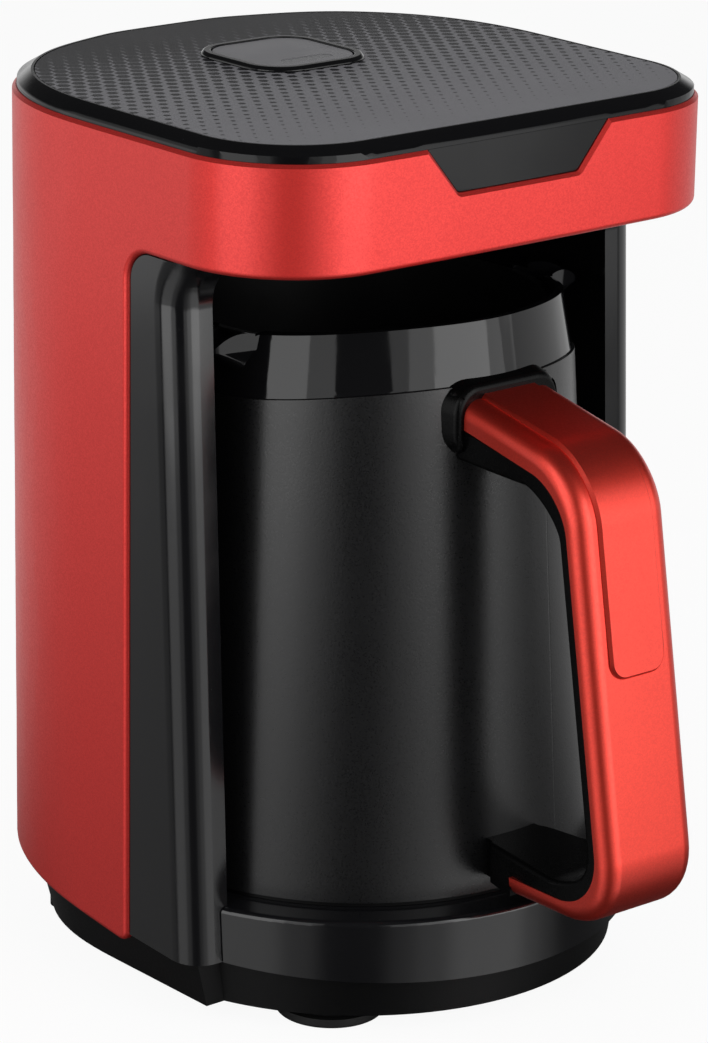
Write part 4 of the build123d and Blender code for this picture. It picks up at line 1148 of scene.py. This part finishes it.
    def block(self) -> Object:
        """Black block round the arm's root, drafted towards its front.

        Returns:
            The piece.
        """
        middle = self.line.root_z + self.block_rise - self.block_height / 2
        depth = self.block_back - self.block_front
        bm = bmesh.new()
        bmesh.ops.create_cube(bm, size=1.0)
        bmesh.ops.scale(bm, vec=(2 * self.block_half, depth, self.block_height), verts=bm.verts[:])
        along = [e for e in bm.edges if abs(e.verts[0].co.y - e.verts[1].co.y) > WELD]
        bevel(bm, along, self.block_corner, self.edge_segments, clamp=True)
        face = [v for v in bm.verts if v.co.y < 0]
        bmesh.ops.scale(bm, vec=(self.block_draft, 1.0, self.block_draft), verts=face)
        place = (0, POT_AXIS_Y + (self.block_front + self.block_back) / 2, middle)
        bmesh.ops.translate(bm, vec=place, verts=bm.verts[:])
        bm.normal_update()
        rim = [e for e in creases(bm, self.block_crease) if all(v in face for v in e.verts)]
        bevel(bm, rim, self.block_edge, self.block_segments, clamp=True)
        return show("handle_block", bm, Finish.SATIN_BLACK, self.sharp)

    def build(self) -> None:
        """Build the handle's four pieces."""
        for piece, node in ((self.cover(), "handle_cover"), (self.inlay(), "handle_inlay")):
            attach(piece, "pot")
            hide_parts(node)
        block = self.block()
        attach(block, "pot")
        Grip("handle_grip", "pot", Finish.SATIN_BLACK, "satin_black", self.grip_edge).build()


# ---- studio
def hang(name: str, size: Span, power: float, spot: Vector, aim: Vector, mirrored: bool) -> None:
    """Add a rectangular light that the camera doesn't see.

    Args:
        name: The light's name.
        size: Its width and height.
        power: Its power in watts.
        spot: Where it hangs.
        aim: The point that it faces.
        mirrored: Whether it shows in reflections.
    """
    data = bpy.data.lights.new(name, "AREA")
    data.shape = "RECTANGLE"
    data.size, data.size_y = size
    data.energy = power
    lamp = bpy.data.objects.new(name, data)
    lamp.location = spot
    lamp.rotation_euler = (aim - spot).to_track_quat("-Z", "Y").to_euler()
    lamp.visible_camera = False
    lamp.visible_glossy = mirrored
    bpy.context.scene.collection.objects.link(lamp)


@dataclass(frozen=True)
class Softbox:
    """One tall studio light that stands on the floor and faces the machine."""

    name: str
    azimuth: float
    reach: float
    width: float
    high: float
    power: float

    def build(self, target: Vector) -> None:
        """Place the light.

        Args:
            target: The point it looks at.
        """
        turn, middle = math.radians(self.azimuth), self.high / 2
        spot = Vector((target.x + math.sin(turn) * self.reach, target.y - math.cos(turn) * self.reach, middle))
        hang(self.name, (self.width, self.high), self.power, spot, Vector((target.x, target.y, middle)), True)


@dataclass
class Studio:
    """Camera, floor, backdrop light and softboxes."""

    target: tuple[float, float, float] = (0.0, POT_AXIS_Y + 1.9 * MM, 0.1156)
    distance: float = 1.1754
    azimuth: float = VIEW_AZIMUTH
    pitch: float = 17.67
    roll: float = 0.98
    lens: float = 153.77
    sensor: float = 36.0
    far: float = 50.0
    floor_radius: float = 12.0
    floor_segments: int = 96
    ambient: float = 0.36
    dark: float = 0.04
    screen_side: Span = (-0.15, 0.20)
    screen_top: Span = (0.02, 0.30)
    lights: tuple[Softbox, ...] = (
        Softbox("left_back", -128.0, 0.75, 0.55, 0.75, 0.72),
        Softbox("left_wide", -78.0, 0.70, 0.64, 0.75, 1.45),
        Softbox("left_core", -84.0, 0.69, 0.40, 0.75, 1.1),
        Softbox("right_wide", 12.0, 0.80, 1.25, 0.70, 2.0),
        Softbox("right_middle", 13.0, 0.79, 0.84, 0.70, 1.4),
        Softbox("right_core", 15.0, 0.78, 0.45, 0.70, 1.4),
    )
    top_power: float = 5.5
    top_size: Span = (1.6, 1.6)
    top_spot: tuple[float, float, float] = (-0.25, -0.35, 1.3)

    def camera(self) -> None:
        """Place the camera at the viewing angle."""
        data = bpy.data.cameras.new("camera")
        data.lens = self.lens
        data.sensor_width = self.sensor
        data.sensor_fit = "AUTO"
        data.clip_end = self.far
        data.dof.use_dof = False
        camera = bpy.data.objects.new("camera", data)
        turn, tilt = math.radians(self.azimuth), math.radians(self.pitch)
        back = Vector((math.sin(turn) * math.cos(tilt), -math.cos(turn) * math.cos(tilt), math.sin(tilt)))
        aim = (Matrix.Rotation(turn, 4, "Z") @ Matrix.Rotation(math.pi / 2 - tilt, 4, "X")
               @ Matrix.Rotation(math.radians(self.roll), 4, "Z"))
        camera.matrix_world = Matrix.Translation(Vector(self.target) + back * self.distance) @ aim
        bpy.context.scene.collection.objects.link(camera)
        bpy.context.scene.camera = camera

    def floor(self) -> None:
        """Lay a round floor under the feet."""
        bm = bmesh.new()
        bmesh.ops.create_circle(bm, cap_ends=True, segments=self.floor_segments, radius=self.floor_radius)
        mesh = bpy.data.meshes.new("studio_floor")
        bm.to_mesh(mesh)
        bm.free()
        mesh.materials.append(Floor("studio_floor").make())
        floor = bpy.data.objects.new("studio_floor", mesh)
        bpy.context.scene.collection.objects.link(floor)

    def world(self) -> None:
        """White backdrop to the camera and in reflections from behind, a dim soft room elsewhere."""
        world = bpy.data.worlds.new("studio")
        world.use_nodes = True
        s = Nodes(world.node_tree, "ShaderNodeOutputWorld")
        turn = math.radians(self.azimuth)
        view = s.value(s.node("ShaderNodeTexCoord"), "Generated")
        facing = {0: view, 1: (-math.sin(turn), math.cos(turn), 0.0)}
        away = s.value(s.node("ShaderNodeVectorMath", {"operation": "DOT_PRODUCT"}, facing), "Value")
        height = s.value(s.node("ShaderNodeSeparateXYZ", None, {0: view}), 2)
        screen = away.between(*self.screen_side) * height.between(*self.screen_top, 1.0, 0.0)
        path = s.node("ShaderNodeLightPath")
        glossy = s.value(path, "Is Glossy Ray")
        seen = s.value(path, "Is Camera Ray").most(s.value(path, "Is Transmission Ray"))
        soft, dim, white = (s.node("ShaderNodeBackground", None, {0: WHITE, 1: strength})
                            for strength in (self.ambient, self.dark, 1.0))
        s.close(s.blend((screen * glossy).most(seen), s.blend(glossy, soft, dim), white))
        world.cycles.sampling_method = "NONE"
        bpy.context.scene.world = world

    def build(self) -> None:
        """Set up the whole studio."""
        bpy.context.scene.view_settings.view_transform = "Standard"
        self.camera()
        self.floor()
        self.world()
        for light in self.lights:
            light.build(Vector(self.target))
        hang("overhead", self.top_size, self.top_power, Vector(self.top_spot), Vector(self.target), False)


def main() -> None:
    """Build the studio and the machine."""
    logging.basicConfig(level=logging.INFO, format="%(message)s")
    for part in (Studio(), Housing(), Lid(), Works(), Pot(), Handle()):
        part.build()
        log.info("built %s", type(part).__name__)


if __name__ == "__main__":
    main()
